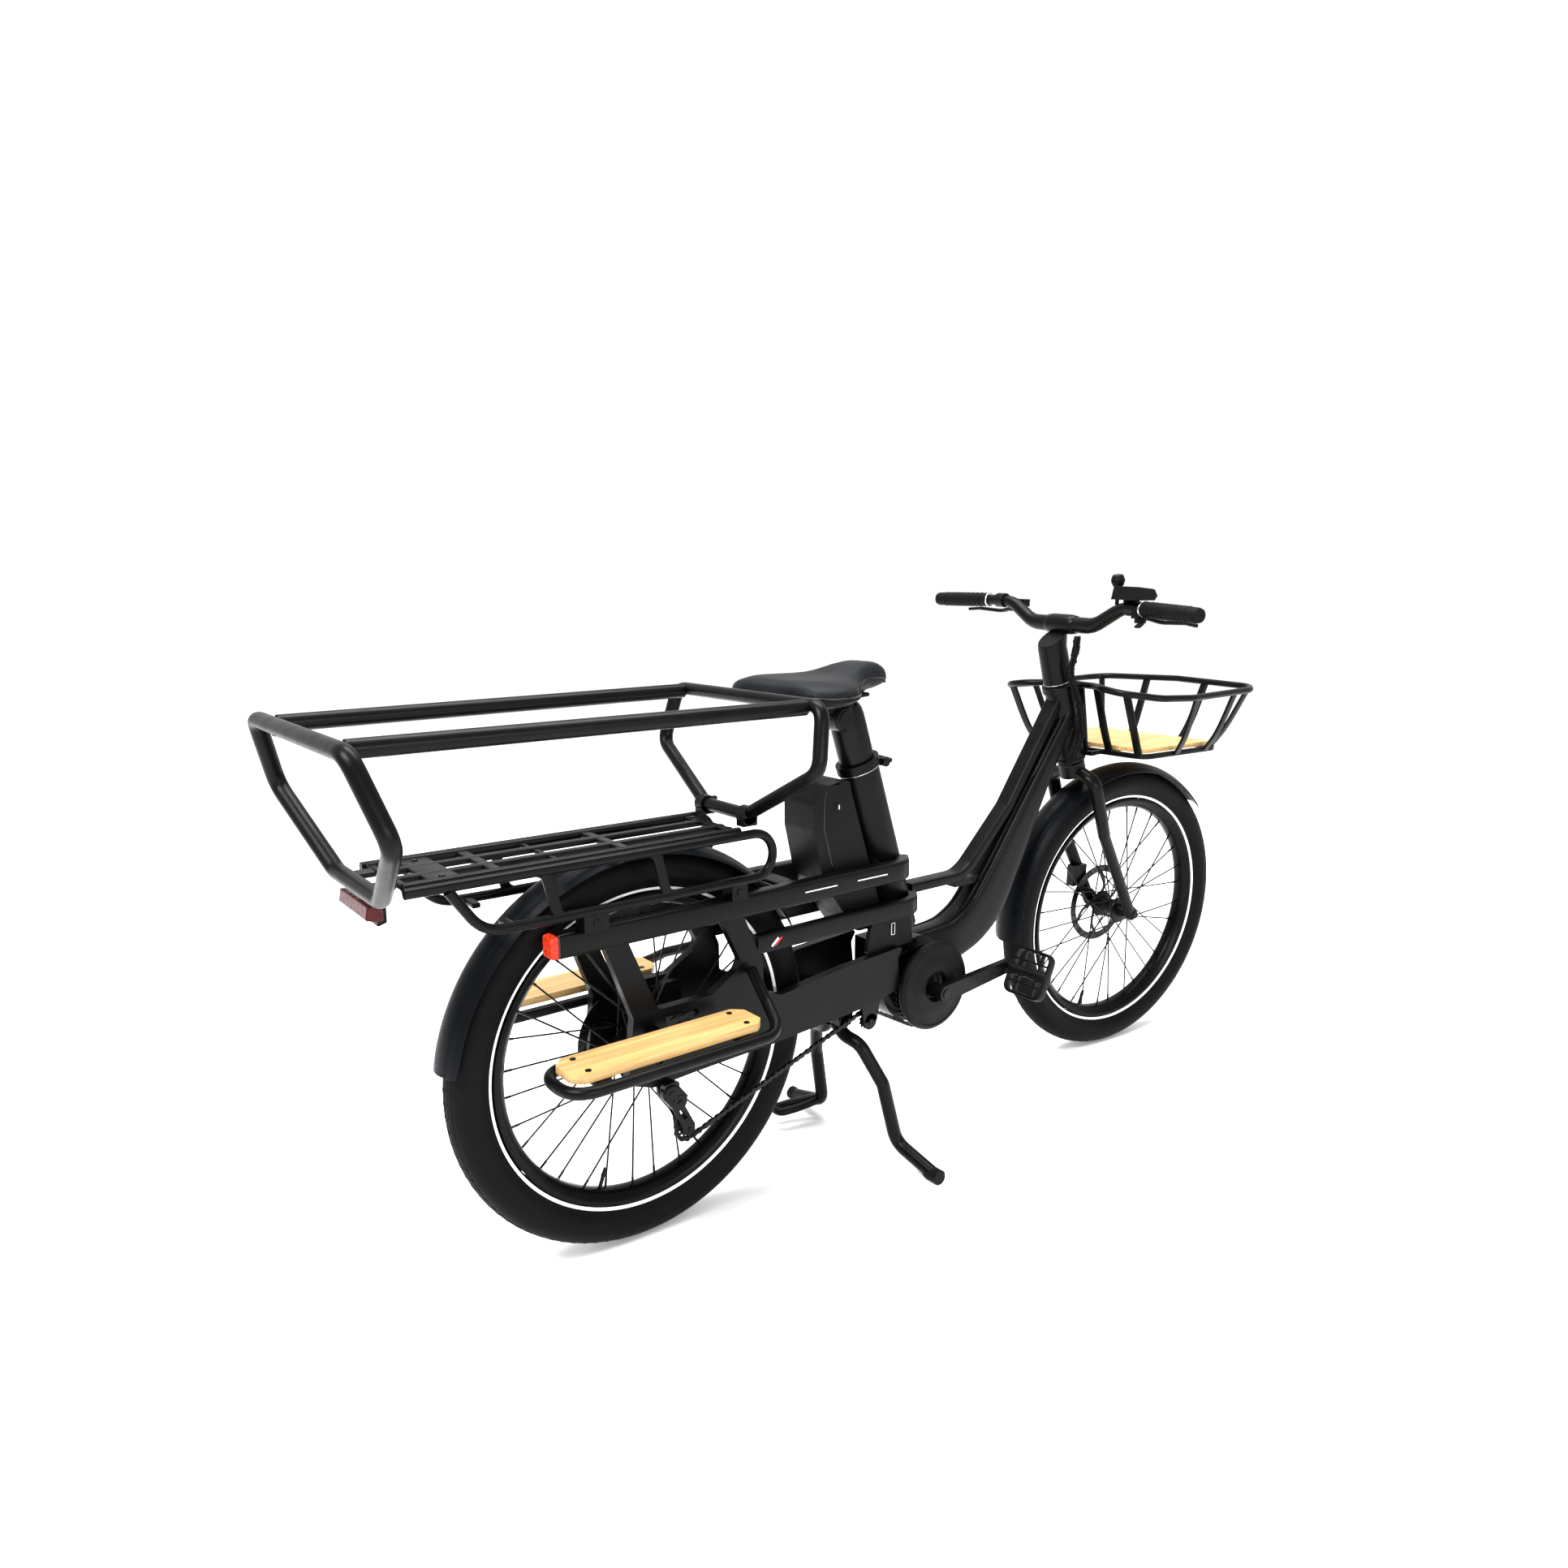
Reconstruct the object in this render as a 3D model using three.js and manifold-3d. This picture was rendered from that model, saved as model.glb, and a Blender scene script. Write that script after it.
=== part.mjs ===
// A long-tail cargo bicycle, in millimetres, +Z up.
// Inside the group x runs forward from the rear axle, y to the bicycle's left and z up from the floor.
// The outer group then moves the whole bicycle so that its bounding box is centred over the origin.
import * as THREE from 'three';
import { mergeVertices } from 'three/addons/utils/BufferGeometryUtils.js';
import Module from 'manifold-3d';

const wasm = await Module();
wasm.setup();

// ---- driving dimensions ----
const GAP = 0.4;
const CENTRE_X = 539;
const WHEEL_R = 325;
const TYRE_R = 31.7;
const RIM_OUTER_R = 258;
const RIM_INNER_R = 237;
const SPOKE_R = 1.3;
const SPOKES = 12;
const WHEELBASE = 1253;
const HEAD_ANGLE = THREE.MathUtils.degToRad(72);
const FORK_OFFSET = 48;
const STEER_AT_REST = THREE.MathUtils.degToRad(-5.85);
const MOTOR = { x: 593, z: 311, radius: 84 };
const CRANK = { x: 597, z: 302, length: 175, angle: THREE.MathUtils.degToRad(5) };
const PEDAL_TILT = THREE.MathUtils.degToRad(65);
const CHAINRING_R = 80;
const SPROCKET_R = 28.5;
const CHAIN_Y = -49;
const CHAIN_WIDTH = 6;
const CHAIN_HEIGHT = 7;
const PULLEY_R = 20;
const GUIDE_PULLEY = { x: 20, z: 256 };
const TENSION_PULLEY = { x: 55, z: 183.3 };
const IDLER = { x: 450, z: 269 };
const SEAT_TUBE = { top: [464, 0, 745], foot: [575, 0, 408], length: 80, width: 62 };
const RAIL = { y: 59, low: 525.5, high: 563, rear: -168, front: 552 };
const STAY = { inner: 56, outer: 73 };
const FENDER_R = 338.5;
const DECK_Z = 675;
const HOOP = { width: 22, depth: 26 };
const STAND_PIVOT = { x: 410, z: 270 };

// ---- colours ----
const BLACK = 0x1b1c1e;
const NAVY = 0x14171c;
const DARK = 0x101112;
const STEEL = 0x55585c;
const BAMBOO = 0xd2a45c;
const RED = 0xc0140f;
const RUBBER = 0x0e0e0f;

// ---- solids ----
function solid(shape) {
  if (shape instanceof wasm.Manifold) return shape;
  const bare = shape.clone();
  bare.deleteAttribute('normal');
  bare.deleteAttribute('uv');
  const merged = mergeVertices(bare, 1e-3);
  const make = (triangles) => new wasm.Manifold(new wasm.Mesh({
    numProp: 3,
    vertProperties: Float32Array.from(merged.attributes.position.array),
    triVerts: triangles,
  }));
  const triangles = Uint32Array.from(merged.index.array);
  const made = make(triangles);
  if (made.volume() > 0) return made;
  return make(triangles.reverse());
}

function join(...shapes) {
  return shapes.map(solid).reduce((whole, next) => whole.add(next));
}

function cut(shape, ...tools) {
  return tools.map(solid).reduce((rest, tool) => rest.subtract(tool), solid(shape));
}

function surface(shape) {
  const mesh = solid(shape).getMesh();
  const geometry = new THREE.BufferGeometry();
  geometry.setAttribute('position', new THREE.BufferAttribute(mesh.vertProperties, 3));
  geometry.setIndex(new THREE.BufferAttribute(mesh.triVerts, 1));
  geometry.computeVertexNormals();
  return geometry;
}

// ---- sections, drawn across a route: first side along the route's "side" vector ----
function oval(width, height, sides = 12) {
  const points = [];
  for (let i = 0; i < sides; i += 1) {
    const angle = ((i + 0.5) / sides) * 2 * Math.PI;
    points.push(new THREE.Vector2((width / 2) * Math.cos(angle), (height / 2) * Math.sin(angle)));
  }
  return new THREE.Shape(points);
}

function slab(width, height, corner = 0) {
  const x = width / 2;
  const y = height / 2;
  const c = corner;
  const square = [[-x, -y], [x, -y], [x, y], [-x, y]];
  const eight = [
    [-x + c, -y], [x - c, -y], [x, -y + c], [x, y - c],
    [x - c, y], [-x + c, y], [-x, y - c], [-x, -y + c],
  ];
  return new THREE.Shape((c > 0 ? eight : square).map(([u, v]) => new THREE.Vector2(u, v)));
}

// A polyline whose stations are exactly its own points, so a swept section turns at each of them.
class Route extends THREE.Curve {
  constructor(points, side) {
    super();
    this.points = points;
    this.side = side;
  }

  getPoint(t) {
    const place = t * (this.points.length - 1);
    const i = Math.min(Math.floor(place + 1e-9), this.points.length - 2);
    return this.points[i].clone().lerp(this.points[i + 1], place - i);
  }

  getPointAt(u) {
    return this.getPoint(u);
  }

  computeFrenetFrames(segments) {
    const tangents = this.points.map((point, i) => {
      const before = this.points[Math.max(i - 1, 0)];
      const after = this.points[Math.min(i + 1, segments)];
      const into = point.clone().sub(before).normalize();
      const out = after.clone().sub(point).normalize();
      return into.add(out).normalize();
    });
    const normals = tangents.map((t) => this.side.clone().addScaledVector(t, -this.side.dot(t)).normalize());
    const binormals = tangents.map((t, i) => t.clone().cross(normals[i]));
    return { tangents, normals, binormals };
  }
}

const ACROSS = new THREE.Vector3(0, 1, 0);
const UP = new THREE.Vector3(0, 0, 1);

function tube(points, section, side = ACROSS) {
  const stations = points.map((point) => (Array.isArray(point) ? new THREE.Vector3(...point) : point));
  const extrudePath = new Route(stations, side);
  return new THREE.ExtrudeGeometry(section, { extrudePath, steps: stations.length - 1, curveSegments: 1 });
}

// A polyline through the given corners, each inner corner rounded to about the given radius.
function bend(corners, radius, steps = 4) {
  const points = corners.map((corner) => new THREE.Vector3(...corner));
  const route = [points[0]];
  for (let i = 1; i < points.length - 1; i += 1) {
    const into = points[i].clone().sub(points[i - 1]);
    const out = points[i + 1].clone().sub(points[i]);
    const room = 0.48 * Math.min(into.length(), out.length());
    const reach = Math.min(radius * Math.tan(into.angleTo(out) / 2), room);
    const start = points[i].clone().addScaledVector(into.normalize(), -reach);
    const end = points[i].clone().addScaledVector(out.normalize(), reach);
    route.push(...new THREE.QuadraticBezierCurve3(start, points[i], end).getPoints(steps));
  }
  route.push(points.at(-1));
  return route;
}

// The outline of a closed figure with every corner rounded.
function roundedOutline(corners, radius, steps = 3) {
  const closed = [...corners, corners[0], corners[1]].map(([u, v]) => [u, v, 0]);
  return bend(closed, radius, steps).slice(1, -1).map((p) => new THREE.Vector2(p.x, p.y));
}

// A figure drawn in x and z, as thick as the span from y = low to y = high.
function plate(outline, low, high, { holes = [], bevel = 0 } = {}) {
  const shape = new THREE.Shape(outline.map((p) => (Array.isArray(p) ? new THREE.Vector2(...p) : p)));
  shape.holes = holes.map((hole) => new THREE.Path(hole));
  const geometry = new THREE.ExtrudeGeometry(shape, {
    depth: high - low - 2 * bevel,
    bevelEnabled: bevel > 0,
    bevelThickness: bevel,
    bevelSize: bevel,
    bevelOffset: -bevel,
    bevelSegments: 1,
    curveSegments: 1,
  });
  geometry.rotateX(Math.PI / 2);
  geometry.translate(0, high - bevel, 0);
  return geometry;
}

function block(x0, x1, y0, y1, z0, z1) {
  const geometry = new THREE.BoxGeometry(x1 - x0, y1 - y0, z1 - z0);
  return geometry.translate((x0 + x1) / 2, (y0 + y1) / 2, (z0 + z1) / 2);
}

// A cylinder across the bicycle.
function disc(radius, x, z, y0, y1, sides = 24) {
  const geometry = new THREE.CylinderGeometry(radius, radius, y1 - y0, sides);
  return geometry.translate(x, (y0 + y1) / 2, z);
}

function rod(from, to, radius, sides = 8, endRadius = radius) {
  const a = new THREE.Vector3(...from);
  const b = new THREE.Vector3(...to);
  const geometry = new THREE.CylinderGeometry(endRadius, radius, a.distanceTo(b), sides);
  geometry.applyQuaternion(new THREE.Quaternion().setFromUnitVectors(ACROSS, b.clone().sub(a).normalize()));
  const middle = a.add(b).multiplyScalar(0.5);
  return geometry.translate(middle.x, middle.y, middle.z);
}

// A ring or hub turned about the wheel's own axis from [radius, y] points.
function turned(profile, x, z, sides) {
  const points = profile.map(([r, y]) => new THREE.Vector2(r, y));
  return new THREE.LatheGeometry(points, sides).translate(x, 0, z);
}

function mirrored(shape) {
  return solid(shape).mirror([0, 1, 0]);
}

function arc(x, z, radius, from, to, steps, y = 0) {
  const points = [];
  for (let i = 0; i <= steps; i += 1) {
    const angle = THREE.MathUtils.degToRad(from + ((to - from) * i) / steps);
    points.push(new THREE.Vector3(x + radius * Math.cos(angle), y, z + radius * Math.sin(angle)));
  }
  return points;
}

// ---- the assembly ----
const bicycle = new THREE.Group();
const frame = new THREE.Group();
frame.position.x = -CENTRE_X;
bicycle.add(frame);

// The steering turns about the head tube's axis, which leans back and passes behind the front axle.
const steerAxis = new THREE.Vector3(-Math.cos(HEAD_ANGLE), 0, Math.sin(HEAD_ANGLE));
const steerPoint = new THREE.Vector3(
  WHEELBASE - FORK_OFFSET * Math.sin(HEAD_ANGLE),
  0,
  WHEEL_R - FORK_OFFSET * Math.cos(HEAD_ANGLE),
);
const steering = new THREE.Group();
steering.position.copy(steerPoint);
steering.quaternion.setFromAxisAngle(steerAxis, STEER_AT_REST);
frame.add(steering);
const front = new THREE.Group();
front.position.copy(steerPoint).negate();
steering.add(front);

function onSteerAxis(z) {
  return new THREE.Vector3().copy(steerPoint).addScaledVector(steerAxis, (z - steerPoint.z) / steerAxis.z);
}

function add(group, name, shape, color, roughness = 0.5, metalness = 0.3) {
  const material = new THREE.MeshStandardMaterial({ color, roughness, metalness });
  const mesh = new THREE.Mesh(surface(shape), material);
  mesh.name = name;
  group.add(mesh);
}

// ---- wheels ----
function tyreProfile() {
  const middle = WHEEL_R - TYRE_R;
  const profile = [];
  for (let angle = -130; angle <= 131; angle += 130 / 3) {
    const turn = THREE.MathUtils.degToRad(angle);
    profile.push([middle + TYRE_R * Math.cos(turn), TYRE_R * Math.sin(turn)]);
  }
  profile.push([RIM_OUTER_R + GAP, 17], [RIM_OUTER_R + GAP, -17]);
  profile.push(profile[0]);
  return profile;
}

function rimProfile() {
  const lip = RIM_OUTER_R;
  const half = [[lip, 21], [lip - 14, 16], [RIM_INNER_R, 8]];
  const other = half.map(([r, y]) => [r, -y]).reverse();
  return [...half, ...other, half[0]];
}

function spokes(x, z, flangeR, flangeY) {
  const list = [];
  for (let i = 0; i < SPOKES; i += 1) {
    const side = i % 2 === 0 ? 1 : -1;
    const lean = Math.floor(i / 2) % 2 === 0 ? 1 : -1;
    const rimAngle = ((i + 0.5) / SPOKES) * 2 * Math.PI;
    const hubAngle = rimAngle + lean * 1.15;
    const hubEnd = [x + flangeR * Math.cos(hubAngle), side * flangeY, z + flangeR * Math.sin(hubAngle)];
    const reach = RIM_INNER_R - 1.5;
    const rimEnd = [x + reach * Math.cos(rimAngle), side * 4, z + reach * Math.sin(rimAngle)];
    list.push(rod(hubEnd, rimEnd, SPOKE_R, 3));
  }
  return list;
}

function wheel(group, name, x, hub) {
  add(group, `${name}_tyre`, turned(tyreProfile(), x, WHEEL_R, 48), RUBBER, 0.85, 0);
  add(group, `${name}_rim`, turned(rimProfile(), x, WHEEL_R, 48), DARK, 0.4, 0.5);
  add(group, `${name}_hub`, join(hub, ...spokes(x, WHEEL_R, 27, 26)), DARK, 0.4, 0.6);
}

const rearHub = turned([
  [0, -68], [5, -68], [5, -54], [16, -54], [16, -29], [30, -29], [30, -23], [18, -16], [18, 16],
  [30, 23], [30, 29], [20, 41], [90, 41], [90, 43], [18, 43], [16, 54], [5, 54], [5, 68], [0, 68],
], 0, WHEEL_R, 18);
wheel(frame, 'rear', 0, rearHub);
add(frame, 'cassette', turned([
  [16.6, -53], [22, -53], [24, -45], [34, -44], [56, -32],
  [56, -30.5], [31, -30.5], [16.6, -30.5], [16.6, -53],
], 0, WHEEL_R, 20), STEEL, 0.4, 0.8);
const frontHub = turned([
  [0, -60], [5, -60], [5, -46], [14, -46], [30, -29], [30, -23], [18, -16], [18, 16],
  [30, 23], [30, 29], [18, 36], [90, 36], [90, 38], [16, 38], [14, 46], [5, 46], [5, 60], [0, 60],
], WHEELBASE, WHEEL_R, 18);
wheel(front, 'front', WHEELBASE, frontHub);

// ---- main frame tubes, each a function of how much larger than itself it is drawn ----
const headTop = onSteerAxis(846);
const headTubeOuter = (grow) => tube(
  [onSteerAxis(846 + grow), onSteerAxis(690 - grow)],
  oval(60 + 2 * grow, 62 + 2 * grow, 20),
);
const collarTop = onSteerAxis(856);
const collar = tube([collarTop, onSteerAxis(840)], oval(66, 74, 20));
const tongueOutline = (grow) => [
  [headTop.x - 92 - grow, -16 - grow], [headTop.x - 92 - grow, 16 + grow],
  [headTop.x - 3, 29 + grow], [headTop.x - 3, -29 - grow],
];
function tongue(grow) {
  const shape = new THREE.Shape(tongueOutline(grow).map((p) => new THREE.Vector2(...p)));
  const geometry = new THREE.ExtrudeGeometry(shape, { depth: 9 + 2 * grow, bevelEnabled: false });
  return geometry.translate(0, 0, 837 - grow);
}
const steererBore = tube([onSteerAxis(900), onSteerAxis(640)], oval(31, 31, 16));
const headTube = cut(join(headTubeOuter(0), collar, tongue(0)), steererBore);
add(frame, 'head_tube', headTube, BLACK, 0.45, 0.4);

const downOutline = (grow) => [
  [1036, 795 + grow], [1016 - grow, 768 + grow], [931 - grow, 657 + grow], [836 - grow, 532 + grow],
  [792 - grow, 476 + grow], [752 - grow, 428 + grow], [715 - grow, 406 + grow], [680, 396 + grow],
  [596 - grow, 392 + grow], [596 - grow, 318 - grow], [700, 318 - grow], [755 + grow, 330 - grow],
  [800 + grow, 352 - grow], [847 + grow, 393 - grow], [900 + grow, 484 - grow], [962 + grow, 610 - grow],
  [1017 + grow, 711 - grow], [1052 + grow, 752],
];
const downTubeOuter = (grow) => plate(downOutline(grow), -31 - grow, 31 + grow, { bevel: 9 });
const motorRound = (grow) => disc(MOTOR.radius + grow, MOTOR.x, MOTOR.z, -39 - grow, 54 + grow, 28);
const downTube = cut(downTubeOuter(0), headTubeOuter(GAP), motorRound(GAP), tongue(GAP));
add(frame, 'down_tube', downTube, BLACK, 0.45, 0.4);

const seatTop = new THREE.Vector3(...SEAT_TUBE.top);
const seatDirection = seatTop.clone().sub(new THREE.Vector3(...SEAT_TUBE.foot)).normalize();
function onSeatAxis(distance) {
  return new THREE.Vector3(...SEAT_TUBE.top).addScaledVector(seatDirection, distance);
}
const seatTubeLength = new THREE.Vector3(...SEAT_TUBE.top).distanceTo(new THREE.Vector3(...SEAT_TUBE.foot));
const seatTubeOuter = (grow) => tube(
  [onSeatAxis(grow), onSeatAxis(-seatTubeLength - grow)],
  oval(SEAT_TUBE.width + 2 * grow, SEAT_TUBE.length + 2 * grow, 20),
);
const postBore = tube([onSeatAxis(30), onSeatAxis(-250)], oval(32.4, 32.4, 16));
const seatCollar = tube([onSeatAxis(-14), onSeatAxis(2)], oval(70, 88, 20));
const clampEars = join(
  block(505, 523, -16, -9, 733, 747),
  block(505, 523, 9, 16, 733, 747),
);
const leverBore = disc(4.6, 514, 740, -40, 40, 10);
const seatTube = cut(join(seatTubeOuter(0), seatCollar, clampEars), postBore, leverBore, motorRound(GAP));
add(frame, 'seat_tube', seatTube, BLACK, 0.45, 0.4);

const barRoute = bend([[1032, 0, 831], [872, 0, 608], [762, 0, 502], [732, 0, 485], [560, 0, 485]], 60, 2);
const upperBarOuter = (grow) => tube(barRoute, slab(34 + 2 * grow, 19 + 2 * grow, 4));
const upperBar = cut(
  upperBarOuter(0),
  headTubeOuter(GAP),
  seatTubeOuter(GAP),
  downTubeOuter(GAP),
  tongue(GAP),
);
const barLug = cut(block(714, 790, -16, 16, 466, 484), downTubeOuter(GAP));
add(frame, 'upper_bar', join(upperBar, barLug), BLACK, 0.45, 0.4);

// ---- the side rails and the lower bands: each curls inward and ends against the seat tube ----
function curlRoute(rear, front, y, z) {
  return bend([[rear, y, z], [front - 26, y, z], [front, y - 30, z]], 40, 4);
}
const railMiddle = (RAIL.low + RAIL.high) / 2;
const railSection = slab(RAIL.high - RAIL.low, 28, 5);
const railBridge = block(262, 298, -RAIL.y, RAIL.y, 548, 556);
const leftRail = tube(curlRoute(RAIL.rear, RAIL.front, RAIL.y, railMiddle), railSection, UP);
const upperRail = join(leftRail, mirrored(leftRail), railBridge);
add(frame, 'side_rails', cut(upperRail, seatTubeOuter(GAP)), BLACK, 0.45, 0.4);
const lowerBand = cut(
  tube(curlRoute(180, 578, 62, 472), slab(32, 20, 4), UP),
  seatTubeOuter(GAP),
  upperBarOuter(GAP),
);

// ---- chainstay plates: a deep stay, a strut and a diagonal up to the rail, and a window between them ----
const stayOutline = [
  [-58, 352], [-64, 300], [-20, 284], [60, 288], [216, 293], [335, 300], [442, 306], [503, 320], [545, 330],
  [560, 380], [545, 403], [374, 392], [233, 376], [196, 392], [196, 440], [158, 522], [116, 522], [150, 455],
  [142, 440], [92, 410], [-8, 410], [-56, 522], [-94, 522], [-52, 405],
];
function stay(low, high) {
  const window = roundedOutline([[2, 396], [62, 396], [70, 384], [10, 378]], 4, 2);
  const body = plate(stayOutline, low, high, { bevel: 4, holes: [window] });
  const motorRoom = disc(MOTOR.radius + GAP + 1, MOTOR.x, MOTOR.z, -100, 100, 36);
  const axleHole = disc(5.5, 0, WHEEL_R, -100, 100, 12);
  return cut(body, motorRoom, axleHole);
}
const idlerLug = join(
  plate([[434, 269], [466, 269], [474, 312], [426, 312]], -62, -STAY.inner),
  disc(16, IDLER.x, IDLER.z, -62, -STAY.inner, 16),
  disc(4, IDLER.x, IDLER.z, -57, -44, 10),
);
const hanger = plate([[-12, 300], [14, 300], [12, 262], [-6, 262]], -66, -60);
const stayRight = join(stay(-STAY.outer, -STAY.inner), mirrored(lowerBand), idlerLug, hanger);
add(frame, 'chainstay_right', stayRight, BLACK, 0.45, 0.4);
const caliperRear = join(block(60, 102, 30, 60, 352, 372), block(52, 110, 32, 54, 372, 402));
const rotorSlot = disc(92, 0, WHEEL_R, 40, 44, 30);
const stayLeft = join(cut(caliperRear, rotorSlot), stay(STAY.inner, STAY.outer), lowerBand);
add(frame, 'chainstay_left', stayLeft, BLACK, 0.45, 0.4);

// ---- motor and cover ----
const motorBlock = plate([[505, 330], [505, 398], [600, 398], [600, 330]], -39, 54, { bevel: 6 });
const axleBore = disc(13, CRANK.x, CRANK.z, -100, 100, 16);
const motor = cut(join(motorRound(0), motorBlock), axleBore, seatTubeOuter(GAP), downTubeOuter(GAP));
add(frame, 'motor_housing', motor, DARK, 0.5, 0.4);
const coverProfile = [[28, -74], [85, -74], [86, -80], [78, -89], [28, -91], [28, -74]];
const cover = turned(coverProfile, MOTOR.x, MOTOR.z, 36);
add(frame, 'chainring_cover', cover, DARK, 0.4, 0.3);

// ---- cranks and pedals ----
const crankX = Math.cos(CRANK.angle);
const crankZ = Math.sin(CRANK.angle);
function crankArm(direction, low, high) {
  const end = [CRANK.x + direction * CRANK.length * crankX, CRANK.z + direction * CRANK.length * crankZ];
  const along = new THREE.Vector2(crankX * direction, crankZ * direction);
  const side = new THREE.Vector2(-along.y, along.x);
  const corner = (x, z, a, s) => [x + along.x * a + side.x * s, z + along.y * a + side.y * s];
  const outline = [
    corner(CRANK.x, CRANK.z, 0, 15),
    corner(CRANK.x, CRANK.z, 0, -15),
    corner(...end, 0, -11),
    corner(...end, 0, 11),
  ];
  return join(
    plate(outline, low, high),
    disc(17, CRANK.x, CRANK.z, low, high, 20),
    disc(13, ...end, low, high, 16),
  );
}
const pedalRight = { x: CRANK.x + CRANK.length * crankX, z: CRANK.z + CRANK.length * crankZ };
const pedalLeft = { x: CRANK.x - CRANK.length * crankX, z: CRANK.z - CRANK.length * crankZ };
const chainring = turned([[12, -52], [74, -52], [74, -47], [12, -47], [12, -52]], CRANK.x, CRANK.z, 36);
const rightSpider = disc(14.5, CRANK.x, CRANK.z, -112, -47, 16);
const rightCrank = cut(
  join(crankArm(1, -112, -97), rightSpider, chainring, disc(5, pedalRight.x, pedalRight.z, -206, -110, 10)),
  disc(9, CRANK.x, CRANK.z, -112.1, -40, 16),
);
add(frame, 'crank_right', rightCrank, DARK, 0.4, 0.5);
const leftCrank = join(
  crankArm(-1, 97, 112),
  disc(8.4, CRANK.x, CRANK.z, -111, 100, 16),
  disc(5, pedalLeft.x, pedalLeft.z, 110, 206, 10),
);
add(frame, 'crank_left', leftCrank, DARK, 0.4, 0.5);

function pedal(place, low, high) {
  const { x, z } = place;
  const cage = plate([[x - 46, z - 9], [x + 46, z - 9], [x + 46, z + 9], [x - 46, z + 9]], low, high);
  const rear = [[x - 38, z - 20], [x - 12, z - 20], [x - 12, z + 20], [x - 38, z + 20]];
  const fore = [[x + 12, z - 20], [x + 38, z - 20], [x + 38, z + 20], [x + 12, z + 20]];
  const spans = [[low + 10, low + 42], [low + 50, high - 10]];
  const cuts = spans.flatMap(([from, to]) => [plate(rear, from, to), plate(fore, from, to)]);
  const body = cut(join(cage, disc(11, x, z, low, high, 12)), ...cuts);
  const tilted = body.translate([-x, 0, -z]).rotate([0, -THREE.MathUtils.radToDeg(PEDAL_TILT), 0]);
  return cut(tilted.translate([x, 0, z]), disc(5.4, x, z, low - 1, high + 1, 12));
}
add(frame, 'pedal_right', pedal(pedalRight, -208, -118), DARK, 0.6, 0.2);
add(frame, 'pedal_left', pedal(pedalLeft, 118, 208), DARK, 0.6, 0.2);

// ---- chain: a band round five wheels, each passed on one side ----
function beltRoute(wheels, arcStep) {
  const count = wheels.length;
  const headings = wheels.map((a, i) => {
    const b = wheels[(i + 1) % count];
    const centreLine = Math.atan2(b.z - a.z, b.x - a.x);
    const distance = Math.hypot(b.x - a.x, b.z - a.z);
    return centreLine + Math.asin((a.turn * a.r - b.turn * b.r) / distance);
  });
  const touch = (w, heading) => [
    w.x + w.turn * w.r * Math.sin(heading),
    w.z - w.turn * w.r * Math.cos(heading),
  ];
  const points = [];
  wheels.forEach((w, i) => {
    const into = headings[(i + count - 1) % count];
    let swing = headings[i] - into;
    while (swing * w.turn < 0) swing += w.turn * 2 * Math.PI;
    while (Math.abs(swing) > 2 * Math.PI) swing -= w.turn * 2 * Math.PI;
    const steps = Math.max(2, Math.round(Math.abs(swing) / arcStep));
    for (let k = 0; k <= steps; k += 1) points.push(touch(w, into + (swing * k) / steps));
  });
  return points;
}
const chainWheels = [
  { x: 0, z: WHEEL_R, r: SPROCKET_R, turn: -1 },
  { x: CRANK.x, z: CRANK.z, r: CHAINRING_R, turn: -1 },
  { ...IDLER, r: PULLEY_R, turn: 1 },
  { ...TENSION_PULLEY, r: PULLEY_R, turn: -1 },
  { ...GUIDE_PULLEY, r: PULLEY_R, turn: 1 },
];
const chainLoop = beltRoute(chainWheels, 0.35).map(([x, z]) => [x, CHAIN_Y, z]);
const chainStart = [chainLoop[0][0] - GAP * 2, CHAIN_Y, chainLoop[0][2]];
const chain = tube([...chainLoop, chainStart], slab(CHAIN_WIDTH, CHAIN_HEIGHT));
add(frame, 'chain', chain, STEEL, 0.45, 0.8);
const idlerWheel = cut(disc(15.8, IDLER.x, IDLER.z, -52, -46, 20), disc(4.4, IDLER.x, IDLER.z, -60, -40, 12));
add(frame, 'chain_idler', idlerWheel, DARK, 0.6, 0.1);

// ---- derailleur ----
const derailleurBody = join(
  plate(roundedOutline([[-14, 296], [18, 296], [34, 262], [20, 244], [-12, 262]], 6, 2), -92, -74),
  disc(8, 2, 272, -74.2, -66.4, 12),
);
add(frame, 'derailleur_body', derailleurBody, DARK, 0.35, 0.5);
const { x: gx, z: gz } = GUIDE_PULLEY;
const { x: tx, z: tz } = TENSION_PULLEY;
const cagePlate = (low, high) => join(
  plate([[gx - 11, gz], [gx + 9, gz + 8], [tx + 12, tz + 2], [tx - 8, tz - 8]], low, high),
  disc(13, gx, gz, low, high, 14),
  disc(13, tx, tz, low, high, 14),
);
const cage = join(
  cagePlate(-58, -55.5),
  cagePlate(-43, -41),
  disc(15.8, gx, gz, -51, -47, 18),
  disc(15.8, tx, tz, -51, -47, 18),
  disc(4, gx, gz, -66, -41, 10),
  disc(4, tx, tz, -58, -41, 10),
);
add(frame, 'derailleur_cage', cage, DARK, 0.4, 0.5);

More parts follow.
